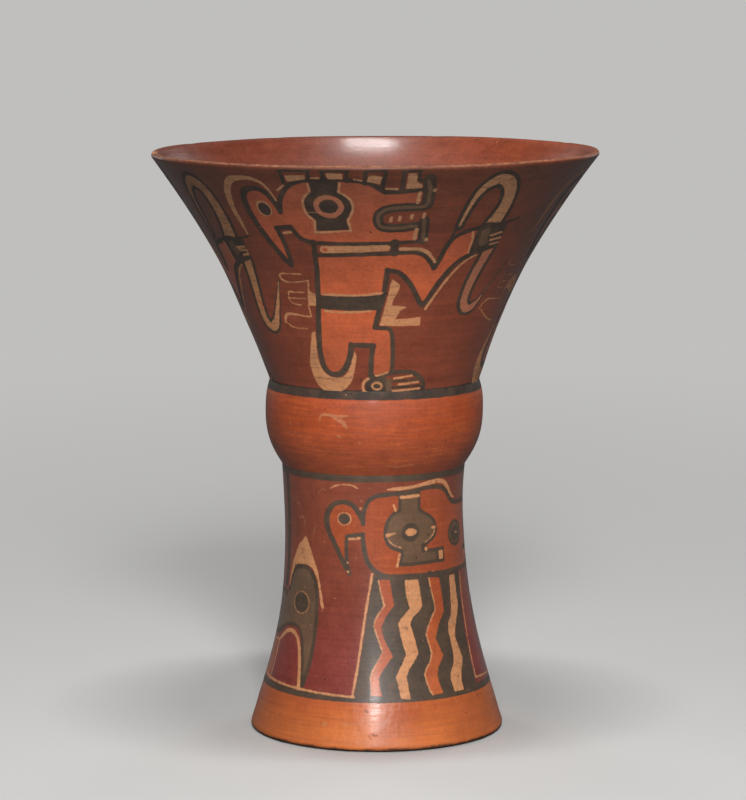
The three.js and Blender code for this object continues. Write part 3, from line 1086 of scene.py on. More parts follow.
def paint(piece, marks, bands, start=0.0, habit=STEM_HABIT):
    """Gives a piece one attribute for each coat: how far inside its marks a point of the outside lies.

    bands are rings of slip all round, as coat, lower and upper length up the wall, and start is where the
    marks' own heights begin. The attribute is 0 well outside the marks and COAT_REACH at their edge.
    """
    mesh = piece.data
    places = places_of(mesh)
    places[:, 0] += PAINT_LEAN * places[:, 2]
    length = values_of(mesh, "up_wall")
    painted = np.flatnonzero(length >= 0)
    degrees = degrees_round(places[painted])
    radius = np.hypot(places[painted, 0], places[painted, 1])
    drop, (low, *low_turns), (high, *high_turns) = habit
    up = length[painted] - start + drop
    crowd, spread = (np.interp(up, (low, high), turns) for turns in zip(low_turns, high_turns))
    aside = np.sin(np.radians(degrees))
    degrees += crowd * np.minimum(aside, 0) - spread * np.maximum(aside, 0)

    depths = {name: np.full(len(painted), -COAT_REACH) for name, _ in COATS}
    for coat, low, high in bands:
        inside = np.minimum(length[painted] - low, high - length[painted])
        depths[coat] = np.maximum(depths[coat], inside)
    for mark, turn in marks:
        away = (degrees - turn + TURN / 2) % TURN - TURN / 2
        spare = COAT_REACH + (0 if mark.widths is None else mark.widths.max() / 2)
        (left, low), (right, high) = mark.points.min(0), mark.points.max(0)
        wide = np.degrees(spare / radius)
        near = (away > left - wide) & (away < right + wide) & (up > low - spare) & (up < high + spare)
        if near.any():
            found = mark.cover(away[near], up[near], radius[near])
            depths[mark.coat][near] = np.maximum(depths[mark.coat][near], found)

    set_values(mesh, "outside", length >= 0)
    for name, depth in depths.items():
        whole = np.zeros(len(length))
        whole[painted] = np.clip(depth, -COAT_REACH, COAT_REACH) + COAT_REACH
        set_values(mesh, name, whole)


# The potter's hand

# How far the axis wanders to the right and the wall swells, against the height, all in millimetres
DRIFT = (
    (0, 0), (35, 0), (65, -0.7), (85, -1.25), (110, -0.95), (125, -0.85), (146, -1.4), (166, -1.2),
    (185, -0.95), (197, -0.8), (206, -0.5),
)
SWELL = (
    (0, 0), (35, 0.1), (62, 0.45), (85, 0.25), (100, 0.1), (122, 0), (130, 0.35), (145, 0.56), (152, 0.36),
    (159, 0.05), (167, -0.25), (181, -0.2), (195, 0.05), (206, 0.6),
)
# Nicks in the lip, as degrees round, half their width in degrees and their depth in millimetres
NICKS = (
    (-86, 1.6, 0.5), (-81, 0.9, 0.3), (-71, 0.7, 0.2), (-58, 1.2, 0.2), (-33, 0.8, 0.15), (27, 1, 0.2),
    (49, 0.7, 0.25), (84, 1.3, 0.3), (118, 1.8, 0.12), (163, 2, 0.1), (-152, 2, 0.1), (-121, 2.2, 0.12),
)
# The share of the cup's height above which the nicks are cut
NICK_START = 0.992
# Waves round the wall and ripples along the rim: their number, phase, twist up the cup and strength
WAVES = ((1, 0.6, 0, 1), (2, 2.1, 4, 0.5), (4, 0, 9, 0.4))
RIPPLES = ((7, 1.9, 0, 0.25),)
# The part of the waves that shows at the base, and the part that sets in towards the rim
BASE_WAVES, RIM_WAVES = 0.3, 0.7
# How high the rim stands on the whole, to the right and to the back, as shares of its tilt, and how steeply
# that comes on up the cup
RIM_MEAN, RIM_RIGHT, RIM_BACK = 0.42, 0.36, 0.25
RIM_POWER = 4
# Points nearer to the axis than this, in millimetres, swell less
SWELL_RADIUS = 10
# How far the wall stands above its section, in millimetres, and the heights over which that sets in
WALL_LIFT = 0.7
LIFT_HEIGHTS = (3, 14)


def followed(table, heights):
    """A table of heights and values, as a smooth curve."""
    smooth = rounded(table)
    return np.interp(heights, smooth[:, 0], smooth[:, 1])


def waves(table, angle, share):
    """All the waves of a table, added up."""
    return sum(
        strength * np.sin(count * angle + phase + twist * share) for count, phase, twist, strength in table
    )


def hand_shaped(piece, shape):
    """Shifts, swells and waves a turned piece as a hand-built cup does. The base stays flat."""
    mesh = piece.data
    places = places_of(mesh)
    angle = np.arctan2(places[:, 0], -places[:, 1])
    height = places[:, 2].copy()
    share = height / (shape.rim_height / MM)
    radius = np.maximum(np.hypot(places[:, 0], places[:, 1]), SWELL_RADIUS)
    wave = shape.waviness / MM * (BASE_WAVES + RIM_WAVES * share)
    swell = followed(SWELL, height) + wave * np.cos(angle) * waves(WAVES, angle, share)
    places[:, :2] *= (1 + swell / radius)[:, None]
    places[:, 0] += followed(DRIFT, height)
    places[:, 2] += WALL_LIFT * eased(height, *LIFT_HEIGHTS)

    right, back = (places[:, :2] / (shape.rim_radius / MM)).T
    uneven = RIM_MEAN + RIM_RIGHT * right + RIM_BACK * back + wave * waves(RIPPLES, angle, share)
    places[:, 2] += shape.rim_tilt / MM * uneven * share ** RIM_POWER
    for turn, half, depth in NICKS:
        nick = np.exp(-((np.degrees(angle) - turn) / half) ** 2)
        places[:, 2] -= depth * nick * eased(share, NICK_START, 1)
    mesh.vertices.foreach_set("co", (places * MM).ravel())
    mesh.update()


# The whole way round a section, as a share of the way from its first point to its last
CLOSED_SECTION = 1.02
# A point less than this far along its section, in millimetres, is its first
SECTION_START = 0.001
# The empty edge of each strip of a UV map, as a share of the strip
MAP_MARGIN = 0.01


def unrolled_map(piece, strips):
    """A UV map that lays the piece's surface out flat, in equal strips one above another."""
    mesh = piece.data
    walked = values_of(mesh, "round_section")
    whole = float(walked.max()) * CLOSED_SECTION
    corners = np.empty(len(mesh.loops), np.int32)
    mesh.loops.foreach_get("vertex_index", corners)
    totals = np.empty(len(mesh.polygons), np.int32)
    mesh.polygons.foreach_get("loop_total", totals)
    face = np.repeat(np.arange(len(totals)), totals)

    # A face keeps together where the turn starts again from 0
    turn = (degrees_round(places_of(mesh))[corners] / TURN) % 1.0
    first = turn[np.searchsorted(face, np.arange(len(totals)))][face]
    turn = np.where(turn - first > 0.5, turn - 1, np.where(turn - first < -0.5, turn + 1, turn))
    middle = np.bincount(face, turn) / totals
    strip = np.clip(np.floor(middle * strips), 0, strips - 1)[face]

    # A face that closes the section ends at its whole length, not at 0
    along = walked[corners]
    longest = np.zeros(len(totals))
    np.maximum.at(longest, face, along)
    along = np.where((along < SECTION_START) & (longest[face] > whole / 2), whole, along)

    inner = 1 - 2 * MAP_MARGIN
    across = MAP_MARGIN + inner * (turn * strips - strip)
    upward = (strip + MAP_MARGIN + inner * along / whole) / strips
    layer = mesh.uv_layers.new(name="OFBake")
    layer.data.foreach_set("uv", np.column_stack([across, upward]).ravel())


# Materials


class Socket:
    """A socket of a node tree. Sums on it add Math nodes."""

    def __init__(self, shader, socket):
        self.shader = shader
        self.socket = socket

    def math(self, operation, *others):
        """A Math node on this socket and others, or on this one and numbers."""
        values = dict(enumerate((self, *others)))
        return self.shader.node("ShaderNodeMath", {"operation": operation}, values)

    def __add__(self, other):
        return self.math("ADD", other)

    def __mul__(self, other):
        return self.math("MULTIPLY", other)

    __rmul__ = __mul__

    def __sub__(self, other):
        return self.math("SUBTRACT", other)

    def __rsub__(self, other):
        return self * -1 + other

    def within(self, low, high):
        """0 below low, 1 above high and a straight ramp between."""
        return self.shader.node(
            "ShaderNodeMapRange",
            {"clamp": True},
            {"Value": self, "From Min": low, "From Max": high, "To Min": 0.0, "To Max": 1.0},
        )


class Shader:
    """One material, built up from nodes."""

    def __init__(self, name):
        self.material = bpy.data.materials.new(name)
        self.material.use_nodes = True
        self.tree = self.material.node_tree
        self.surface = self.tree.nodes["Principled BSDF"]

    def node(self, kind, settings=None, values=None, output=0):
        """A node of any kind: its settings are set first, then its sockets' values or links."""
        made = self.tree.nodes.new(kind)
        for name, value in (settings or {}).items():
            setattr(made, name, value)
        for name, value in (values or {}).items():
            self.feed(made.inputs[name], value)
        return Socket(self, made.outputs[output])

    def feed(self, socket, value):
        """Links a socket to another, or sets its value."""
        if isinstance(value, Socket):
            self.tree.links.new(value.socket, socket)
        else:
            socket.default_value = value

    def place(self):
        """Places in the piece's own frame, in metres."""
        return self.node("ShaderNodeTexCoord", output="Object")

    def attribute(self, name):
        """The values that a piece's points have, such as those of a coat."""
        return self.node("ShaderNodeAttribute", {"attribute_name": name}, output="Fac")

    def stretched(self, across, upward):
        """Places in the cup, counted in grains of so many metres across and upward."""
        return self.node(
            "ShaderNodeMapping", {}, {"Vector": self.place(), "Scale": (1 / across, 1 / across, 1 / upward)}
        )

    def noise(self, grain, upward=None, detail=2.0, roughness=0.5, distortion=0.0):
        """Soft noise from 0 to 1, with grains of so many metres."""
        return self.node("ShaderNodeTexNoise", {}, {
            "Vector": self.stretched(grain, upward or grain),
            "Scale": 1.0,
            "Detail": detail,
            "Roughness": roughness,
            "Distortion": distortion,
        })

    def dots(self, grain, size, edge):
        """Soft-edged dots round scattered points, with their size and edge as shares of the grain."""
        places = self.stretched(grain, grain)
        away = self.node("ShaderNodeTexVoronoi", {"feature": "F1"}, {"Vector": places, "Scale": 1.0})
        return (size - away).within(0.0, edge)

    def mix(self, share, below, above):
        """A colour between two others."""
        settings = {"data_type": "RGBA", "blend_type": "MIX"}
        return self.node("ShaderNodeMix", settings, {0: share, 6: below, 7: above}, output=2)

    def bump(self, height, distance, below=None):
        """The surface's direction with a relief on it, over another relief if there is one."""
        values = {"Height": height, "Distance": distance, "Strength": 1.0}
        if below is not None:
            values["Normal"] = below
        return self.node("ShaderNodeBump", {}, values)

    def finish(self, **sockets):
        """Feeds the surface's sockets, with their names' spaces given as underscores."""
        for name, value in sockets.items():
            self.feed(self.surface.inputs[name.replace("_", " ")], value)
        return self.material


def rgba(colour, brightness=1.0):
    """A colour as a socket takes it, made brighter or darker."""
    return (*[min(1.0, channel * brightness) for channel in colour], 1.0)


# The one material of the cup. Heights, places across and grains are in metres

# Its name, and the roughness of its burnished skin
CLAY = "slip painted clay"
SKIN_ROUGHNESS = 0.17

# Heights over which one zone of the cup gives way to the next
FOOT_END = (0.016, 0.019)
STEM_START = (0.03, 0.045)
STEM_END = (0.09, 0.094)
BELT_START = (0.094, 0.096)
BELT_END = (0.124, 0.126)
SHOULDER_START = (0.112, 0.12)
SHOULDER_END = (0.126, 0.129)
BOWL_START = (0.123, 0.129)
UPPER_START = (0.15, 0.2)
LIP_START = (0.1965, 0.2025)

# How soft a coat's edge is and how far the dullness of some slips reaches, in millimetres
COAT_EDGE = 0.17
DULL_EDGE = (-0.5, 0.2)
DULL_SLIPS = ("cream", "dun", "black")
# How much of the pale and of the other slips is rubbed off in patches, and how much of a scuff shows
PALE_SLIPS = ("cream", "clay")
PALE_RUB, DARK_RUB = 0.55, 0.15
SCUFF_COVER = 0.6


class ClayShader(Shader):
    """Burnished slip with its painted coats, rubbed and speckled, and bare clay along the lip and base."""

    def __init__(self, slips):
        super().__init__(CLAY)
        self.slips = slips
        self.across = self.node("ShaderNodeSeparateXYZ", {}, {0: self.place()}, output="X")
        self.height = self.node("ShaderNodeSeparateXYZ", {}, {0: self.place()}, output="Z")
        self.outside = self.attribute("outside")
        self.inside = 1 - self.outside
        self.lip = self.attribute("lip_wear")

        # Zones of the cup
        self.foot = 1 - self.height.within(*FOOT_END)
        self.stem = self.zone(STEM_START, STEM_END)
        self.belt = self.zone(BELT_START, BELT_END)
        self.shoulder = self.zone(SHOULDER_START, SHOULDER_END)
        self.bowl = self.height.within(*BOWL_START)
        self.upper = self.height.within(*UPPER_START)
        self.below_lip = self.inside * (1 - self.height.within(*LIP_START))

        # Unevenness of the slip, and the traces of brush and burnishing stone round the cup
        self.patches = self.noise(0.028, detail=3.0)
        self.mottle = self.noise(0.0062, detail=4.0, roughness=0.62)
        self.grain = self.noise(0.0011, detail=3.0, roughness=0.6)
        self.streak = self.noise(0.04, 0.0015, detail=2.0, roughness=0.55, distortion=0.6)
        self.strokes = self.noise(0.016, 0.0009, detail=3.0, roughness=0.6, distortion=0.4)

        # Wear, and grime with a painted contact shadow along the foot's edge
        self.scarred = self.noise(0.021, detail=1.0).within(0.5, 0.62)
        self.pits = self.dots(0.0052, 0.085, 0.035) * self.scarred
        self.chips = self.noise(0.0019, 0.0008, detail=3.0)
        self.lip_edge = self.lip.within(0.05, 0.4)
        self.bared = (self.lip + (self.chips - 0.5) * 0.9).within(0.45, 0.7)
        # Grime at the foot's bottom edge, which also serves as a painted contact shadow under the rounded
        # edge
        self.grime_and_shadow = (self.height * -900 + (self.mottle - 0.5) * 2.4 + 1.4).within(0.0, 0.8)

    def zone(self, start, end):
        """1 between two heights, each given as the ramp that it sets in or ends over."""
        return self.height.within(*start) * (1 - self.height.within(*end))

    def wash(self, below, share, slip, brightness=1.0):
        """A colour with a share of a slip washed over it."""
        return self.mix(share, below, rgba(slip, brightness))

    def ground(self):
        """The red slip under the painting: cooler on the stem, with painted shade low on the bowl and to the
        rim, and darker inside to the left.
        """
        slips = self.slips
        colour = self.wash(rgba(slips.plum), self.height.within(0.025, 0.07), slips.red)
        # The patches are the slip's own uneven tone; the darkening towards the rim is painted shade
        colour = self.wash(colour, self.patches.within(0.4, 0.7) * 0.5 + self.upper * 0.25, slips.red, 0.68)
        brushed = self.streak.within(0.45, 0.68) * (self.bowl * 0.15 + 0.1)
        colour = self.wash(colour, brushed, slips.orange, 0.75)
        # Painted shade: the red is darker at the foot of the bowl and, outside, towards the rim
        bowl_foot = self.bowl * (1 - self.height.within(0.13, 0.15))
        colour = self.wash(colour, bowl_foot * 0.4, slips.red, 0.7)
        colour = self.wash(colour, self.outside * self.upper * 0.35, slips.umber, 0.5)
        colour = self.wash(colour, self.inside * 0.5, slips.red, 1.05)
        left = (0 - self.across).within(0.0, 0.06)
        right = self.across.within(0.0, 0.06)
        colour = self.wash(colour, self.inside * left * 0.5, slips.red, 0.6)
        return self.wash(colour, self.inside * right * 0.5, slips.orange, 0.9)

    def plain_orange(self):
        """The orange slip: amber on the foot, redder to its left, deep on the belt, and paler and brighter up
        the bowl, the brightening being painted light.
        """
        slips = self.slips
        colour = self.wash(rgba(slips.amber), self.patches.within(0.42, 0.62) * 0.45, slips.orange, 1.1)
        colour = self.wash(colour, self.height.within(0.006, 0.014) * 0.5, slips.orange, 1.1)
        colour = self.wash(colour, (0 - self.across).within(0.015, 0.042) * 0.4, slips.red)
        colour = self.wash(colour, self.across.within(0.005, 0.035) * 0.55, slips.amber)
        colour = self.wash(colour, self.height.within(0.018, 0.05), slips.orange, 0.88)
        colour = self.wash(colour, self.belt, slips.orange)
        colour = self.wash(colour, self.belt * self.height.within(0.1, 0.114) * 0.8, slips.flame)
        # Painted light: the orange is brighter on the bowl, and brighter still towards the rim, to make up
        # for the light that the bowl's downward-facing flare misses
        colour = self.wash(colour, self.bowl, slips.orange, 1.22)
        colour = self.wash(colour, self.bowl * 0.2, slips.clay, 1.2)
        return self.wash(colour, self.height.within(0.138, 0.162), slips.orange, 1.66)

    def orange(self):
        """The orange slip with its brush strokes, shaded under the belt and duller to the rim, both as
        painted shade.
        """
        slips = self.slips
        streaks = self.streak.within(0.46, 0.7) * (self.belt * 0.15 + self.foot * 0.2 + 0.2)
        colour = self.wash(self.plain_orange(), streaks, slips.red, 0.85)
        # Painted shade on the lower half of the belt, which bulges away from the light
        shaded = self.belt * (1 - self.height.within(0.098, 0.117))
        dark_strokes = self.strokes.within(0.46, 0.66) * (self.belt * 0.22 + 0.13)
        colour = self.wash(colour, dark_strokes + shaded * 0.25, slips.red, 0.9)
        pale_strokes = (0.46 - self.strokes).within(0.0, 0.14) * (self.belt * 0.12 + 0.13)
        colour = self.wash(colour, pale_strokes, slips.amber)
        # Painted shade: duller and darker towards the rim
        colour = self.wash(colour, self.upper * 0.68, slips.clay, 0.7)
        return self.wash(colour, self.patches.within(0.5, 0.7) * 0.35, slips.red, 1.1)

    def black(self):
        """The black slip: greyer low on the cup, and darkest, as painted shade, in the crease where the bowl
        meets the belt.
        """
        slips = self.slips
        colour = self.wash(rgba(slips.ash), self.height.within(0.13, 0.185), slips.black)
        # Painted shade in the crease where the bowl meets the belt
        colour = self.wash(colour, self.shoulder, slips.black, 0.8)
        return self.wash(colour, self.mottle.within(0.45, 0.75) * 0.4, slips.umber, 0.8)

    def cream(self):
        """The cream slip: dirty in blotches and hairlines, dotted to the rim, and darker there as painted
        shade.
        """
        slips = self.slips
        # Painted shade: darker and greyer towards the rim
        colour = self.wash(rgba(slips.cream, 1.08), self.upper * 0.5, slips.umber, 2.5)
        hairs = self.noise(0.011, 0.0005, detail=1.0).within(0.58, 0.72)
        dirt = self.mottle.within(0.45, 0.7) * 0.4 + hairs * (self.bowl * 0.4 + 0.05)
        colour = self.wash(colour, dirt, slips.umber, 0.9)
        return self.wash(colour, self.dots(0.0015, 0.2, 0.12) * self.upper * 0.7, slips.umber, 0.4)

    def tints(self):
        """The colour of each painted slip."""
        slips = self.slips
        return {
            "orange": self.orange(),
            "umber": self.wash(rgba(slips.umber), self.patches.within(0.35, 0.7), slips.umber, 0.8),
            "black": self.black(),
            "cream": self.cream(),
            "dun": self.wash(rgba(slips.dun), self.mottle.within(0.45, 0.7) * 0.4, slips.umber, 1.1),
            "clay": rgba(slips.cream, 0.8),
        }

    def painted(self):
        """The ground with all the coats over it, and how far dull slips cover it."""
        tints = self.tints()
        wander = (self.noise(0.0034, detail=2.0) - 0.5) * 0.5 + (self.grain - 0.5) * 0.35
        rubbed = self.noise(0.0021, detail=4.0, roughness=0.7).within(0.55, 0.7)
        colour = self.ground()
        dull = []
        for name, slip in COATS:
            inside = self.attribute(name) + wander - COAT_REACH
            rub = PALE_RUB if slip in PALE_SLIPS else DARK_RUB
            cover = inside.within(-COAT_EDGE, COAT_EDGE) * (1 - rubbed * rub)
            colour = self.mix(cover * SCUFF_COVER if name == "scuff" else cover, colour, tints[slip])
            if slip in DULL_SLIPS:
                dull.append(inside.within(*DULL_EDGE))
        return colour, reduce(lambda a, b: a.math("MAXIMUM", b), dull)

    def toned(self, colour):
        """A colour made lighter and darker by the slip's unevenness, and darker to the rim as painted shade.
        """
        upright = (self.noise(0.0009, 0.02, detail=2.0) - 0.5) * (1 - self.height.within(0.088, 0.093))
        tone = (self.mottle - 0.5) * (0.6 - self.foot * 0.3)
        tone = tone + (self.grain - 0.5) * (0.55 - self.foot * 0.3)
        tone = tone + (self.streak - 0.5) * (self.foot * 0.2 + 0.3)
        # The upright streaks are the slip's own; the darkening towards the rim is painted shade
        tone = tone + upright * 0.16 - self.upper * 0.3 + 1
        return self.node("ShaderNodeVectorMath", {"operation": "SCALE"}, {0: colour, "Scale": tone})

    def speckled(self, colour):
        """A colour with dark pits, and pale flecks and scratches."""
        slips = self.slips
        colour = self.wash(colour, self.pits * 0.8, slips.black, 0.5)
        specked = self.noise(0.014, detail=1.0).within(0.46, 0.58) * self.stem
        specks = self.dots(0.0036, 0.085, 0.03) * specked
        flecks = (self.dots(0.0064, 0.055, 0.025) * self.scarred).math("MAXIMUM", specks)
        level = self.noise(0.009, 0.0006, detail=1.0)
        threads = self.noise(0.0006, 0.009, detail=1.0).math("MAXIMUM", level).within(0.73, 0.78)
        scratched = self.noise(0.019, detail=1.0).within(0.54, 0.64)
        scratches = threads * scratched * (1 - self.belt) * self.height.within(0.009, 0.012)
        return self.wash(colour, flecks * 0.6 + scratches * 0.35, slips.cream)

    def worn(self, colour):
        """A colour worn to bare clay along the lip, bare on the underside, and dark with grime and painted
        shadow at the foot's edge.
        """
        slips = self.slips
        flaked = self.noise(0.0024, detail=4.0, roughness=0.65).within(0.36, 0.66)
        bare = self.wash(rgba(slips.clay, 0.4), flaked, slips.cream, 0.56)
        bare = self.wash(bare, (self.lip + (self.chips - 0.5)).within(1.15, 1.4), slips.cream, 1.2)
        colour = self.mix(self.bared * 0.8, colour, bare)
        # Grime and painted contact shadow along the foot's bottom edge
        colour = self.wash(colour, self.grime_and_shadow * 0.9, slips.umber, 0.25)
        underside = (0.0005 - self.height).within(0.0, 0.0004) * self.inside
        stained = self.wash(rgba(slips.clay, 0.7), self.mottle.within(0.35, 0.7), slips.umber, 0.45)
        return self.mix(underside, colour, stained)

    def roughness(self, dull):
        """How rough the surface is: more where the slip is dull, at the lip and in the grime and painted
        shadow at the foot's edge.
        """
        rough = self.streak * 0.1 + self.mottle * 0.1 + dull * 0.15 + self.belt * 0.1 + self.shoulder * 0.2
        rough = rough + self.lip_edge * 0.4 + self.grime_and_shadow * 0.25 + 0.24
        foot_edge = self.foot * (1 - self.height.within(0.004, 0.013))
        return rough + foot_edge * 0.14 + self.below_lip * 0.16

    def burnish(self, dull):
        """How much of a burnished skin the slip has: most on the stem and the foot, in strokes."""
        rubs = self.noise(0.006, 0.0008, detail=2.0).within(0.42, 0.6)
        skin = self.strokes.within(0.3, 0.65) * (0.25 - self.foot * 0.1) + rubs * self.foot * 0.26
        skin = skin + self.outside * 0.06 + 0.2 - self.foot * 0.2
        skin = skin * (1 - dull * 0.6) * (1 - self.lip_edge) * (1 - self.pits)
        above_stem = self.outside * (self.belt + self.bowl).within(0.0, 1.0)
        above_edge = self.height.within(0.005, 0.016)
        return skin * (1 - above_stem * 0.85) * (above_edge * 0.85 + 0.15) * (1 - self.below_lip * 0.8)

    def relief(self):
        """The surface's direction over dents, brush streaks, dimples on the foot, grain, pits and chips."""
        normal = self.bump(self.noise(0.017, detail=2.0), 0.0002)
        normal = self.bump(self.streak, 0.00004, normal)
        normal = self.bump(self.noise(0.0022, 0.004, detail=2.0) * self.foot, 0.00012, normal)
        return self.bump(self.grain - self.pits * 3 - self.bared * self.chips * 4, 0.00003, normal)


def clay_material(context):
    """The clay, made once and then shared by all the pieces."""
    made = bpy.data.materials.get(CLAY)
    if made:
        return made
    clay = ClayShader(context.scene.kero_slips)
    colour, dull = clay.painted()
    return clay.finish(
        Base_Color=clay.worn(clay.speckled(clay.toned(colour))),
        Roughness=clay.roughness(dull),
        Coat_Weight=clay.burnish(dull),
        Coat_Roughness=SKIN_ROUGHNESS,
        Normal=clay.relief(),
    )


# Making the pieces

# Lengths and heights that lie beyond any on the cup
BEYOND = 400.0
# Strips of a piece's UV map
STRIPS = 2
RIM_STRIPS = 3


def build(
    context, node, section, marks, bands,
    start=0.0, habit=STEM_HABIT, grid=PAINT_GRID, strips=STRIPS,
):
    """Turns, shapes and paints one piece, and sets it in the frame in place of its CAD node."""
    piece = turned("finished_" + node, *section, grid)
    hand_shaped(piece, context.scene.kero_shape)
    paint(piece, marks, bands, start, habit)
    unrolled_map(piece, strips)
    piece.data.materials.append(clay_material(context))
    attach(piece, "root")
    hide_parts(node)
    return piece


def section_of(outside, lengths, rest):
    """A closed outline, of outside points and the rest, and the lengths of its points up the wall."""
    return np.vstack([outside, rest]), np.concatenate([lengths, np.full(len(rest), NOT_OUTSIDE)])


def coil_section(wall, bottom, top, lap, grid):
    """The section of a coil, with its joints lower inside than outside."""
    up = even_steps(bottom, top, grid)
    down = even_steps(top - lap, bottom - lap, PLAIN_GRID)
    return section_of(wall.outside(up), up, wall.inside(down))


# Radius of the floor disc's innermost ring, in millimetres
INNER_RING = 1.0


class KERO_OT_floor_disc(bpy.types.Operator):
    """Turns the slab that closes the cup and stands on the table"""

    bl_idname = "kero.floor_disc"
    bl_label = "Floor Disc"

    def execute(self, context):
        shape = context.scene.kero_shape
        wall = Wall(shape)
        edge = shape.foot_edge / MM
        foot = shape.foot_radius / MM
        thickness = shape.floor_thickness / MM
        corner = bezier([(foot - edge, 0), (foot, 0), wall.outside([edge])[0]], EDGE_STEPS)
        up = even_steps(edge, wall.at_height(thickness), PAINT_GRID)[1:]
        rings = even_steps(INNER_RING, foot - edge, PLAIN_GRID)[:-1]
        under = np.column_stack([rings, np.zeros(len(rings))])
        above = under[::-1] + [0, thickness]
        outline = np.vstack([under, corner, wall.outside(up), above, [(0, thickness), (0, 0)]])
        length = np.full(len(outline), NOT_OUTSIDE)
        edge_lengths = np.concatenate([np.linspace(0, edge, len(corner)), up])
        length[len(under):len(under) + len(edge_lengths)] = edge_lengths
        bands = [("orange_ground", -BEYOND, BEYOND)]
        build(context, "floor_disc", (outline, length), foot_scars(), bands, grid=FLOOR_GRID)
        return {"FINISHED"}


# Lengths up the wall, in millimetres: the top of the foot's band, the black line above it, and how far the
# black line at the top of the stem runs below the belt's lower edge and behind the belt
FOOT_BAND = 16.7
FOOT_LINE = (16.6, 19)
STEM_LINE = 2.4
BEHIND_BELT = 9


class KERO_OT_stem_coils(bpy.types.Operator):
    """Turns and paints the coils of the foot, the stem and the neck"""

    bl_idname = "kero.stem_coils"
    bl_label = "Stem Coils"

    def execute(self, context):
        shape = context.scene.kero_shape
        wall = Wall(shape)
        thickness = shape.floor_thickness / MM
        stem_top = wall.at_height(shape.belt_low / MM)
        marks = stem_marks() + foot_scars()
        bands = [
            ("orange_ground", -BEYOND, FOOT_BAND),
            ("black_line", *FOOT_LINE),
            ("black_line", stem_top - STEM_LINE, stem_top + BEHIND_BELT),
        ]
        bottom = wall.at_height(thickness)
        for node in ("foot_coil", "stem_coil_1", "stem_coil_2", "stem_coil_3", "neck_coil"):
            top = wall.at_height(highest(node) / MM)
            hidden = node == "neck_coil"
            grid = PLAIN_GRID if hidden else PAINT_GRID
            outline, length = coil_section(wall, bottom, top, shape.scarf_lap / MM, grid)
            if node == "foot_coil":
                outline[:, 1] = np.maximum(outline[:, 1], thickness)
            build(context, node, (outline, length), [] if hidden else marks, bands, grid=grid)
            bottom = top
        return {"FINISHED"}


# How far the black line at the belt's upper edge runs down, in millimetres
BELT_LINE = 2.9


class KERO_OT_belt(bpy.types.Operator):
    """Turns the bulging belt that lies round the neck"""

    bl_idname = "kero.belt"
    bl_label = "Belt"

    def execute(self, context):
        shape = context.scene.kero_shape
        foot = np.array([shape.stem_top_radius, shape.belt_low]) / MM
        head = np.array([shape.neck_radius, shape.belt_high]) / MM
        crown = np.array([shape.belt_radius, shape.belt_low + shape.belt_crown]) / MM
        handle = shape.curve_handle

        def bulge(end):
            shoulder = end + (crown - end) * [shape.belt_shoulder, handle]
            return bezier([end, shoulder, crown + (end - crown) * [0, handle], crown], BELT_STEPS)

        face = np.vstack([bulge(foot), bulge(head)[::-1][1:]])
        back = bezier([head, foot], BELT_BACK_STEPS)[1:-1]
        section = section_of(face, face[:, 1], back)
        bands = [("orange_ground", -BEYOND, BEYOND), ("black_line", head[1] - BELT_LINE, BEYOND)]
        build(context, "belt", section, belt_scars(), bands)
        return {"FINISHED"}


# How far up the bowl the belt's black line runs on, in millimetres
NECK_LINE = 0.5


class KERO_OT_bowl_coils(bpy.types.Operator):
    """Turns and paints the coils of the bowl"""

    bl_idname = "kero.bowl_coils"
    bl_label = "Bowl Coils"

    def execute(self, context):
        shape = context.scene.kero_shape
        wall = Wall(shape)
        marks = bowl_marks()
        bands = [("black_line", -BEYOND, wall.neck + NECK_LINE)]
        bottom = wall.at_height(highest("neck_coil") / MM)
        for node in ("bowl_coil_1", "bowl_coil_2", "bowl_coil_3"):
            top = wall.at_height(highest(node) / MM)
            section = coil_section(wall, bottom, top, shape.scarf_lap / MM, PAINT_GRID)
            build(context, node, section, marks, bands, wall.neck, BOWL_HABIT)
            bottom = top
        return {"FINISHED"}


# How many points of the lip's rounding are painted, and how far apart the painting takes them to be
LIP_PAINTED = 3
LIP_STRIDE = 0.4
# How near to its crest the lip is worn, in millimetres, and how strongly: all round, more to the front, and
# most at a chipped place, given as degrees round and half its width in degrees
LIP_WORN = 1.8
EVEN_WEAR, FRONT_WEAR = 0.58, 0.42
CHIPPED, CHIPPED_HALF = -86, 4


def lip_wear(piece):
    """Marks how worn each point near the lip's crest is."""
    mesh = piece.data
    places = places_of(mesh)
    walked = values_of(mesh, "round_section")
    crest = walked[places[:, 2].argmax()]
    degrees = degrees_round(places)
    wear = EVEN_WEAR + FRONT_WEAR * np.cos(np.radians(degrees))
    wear += np.exp(-((degrees - CHIPPED) / CHIPPED_HALF) ** 2)
    set_values(mesh, "lip_wear", np.clip(LIP_WORN - np.abs(walked - crest), 0, 1) * wear)


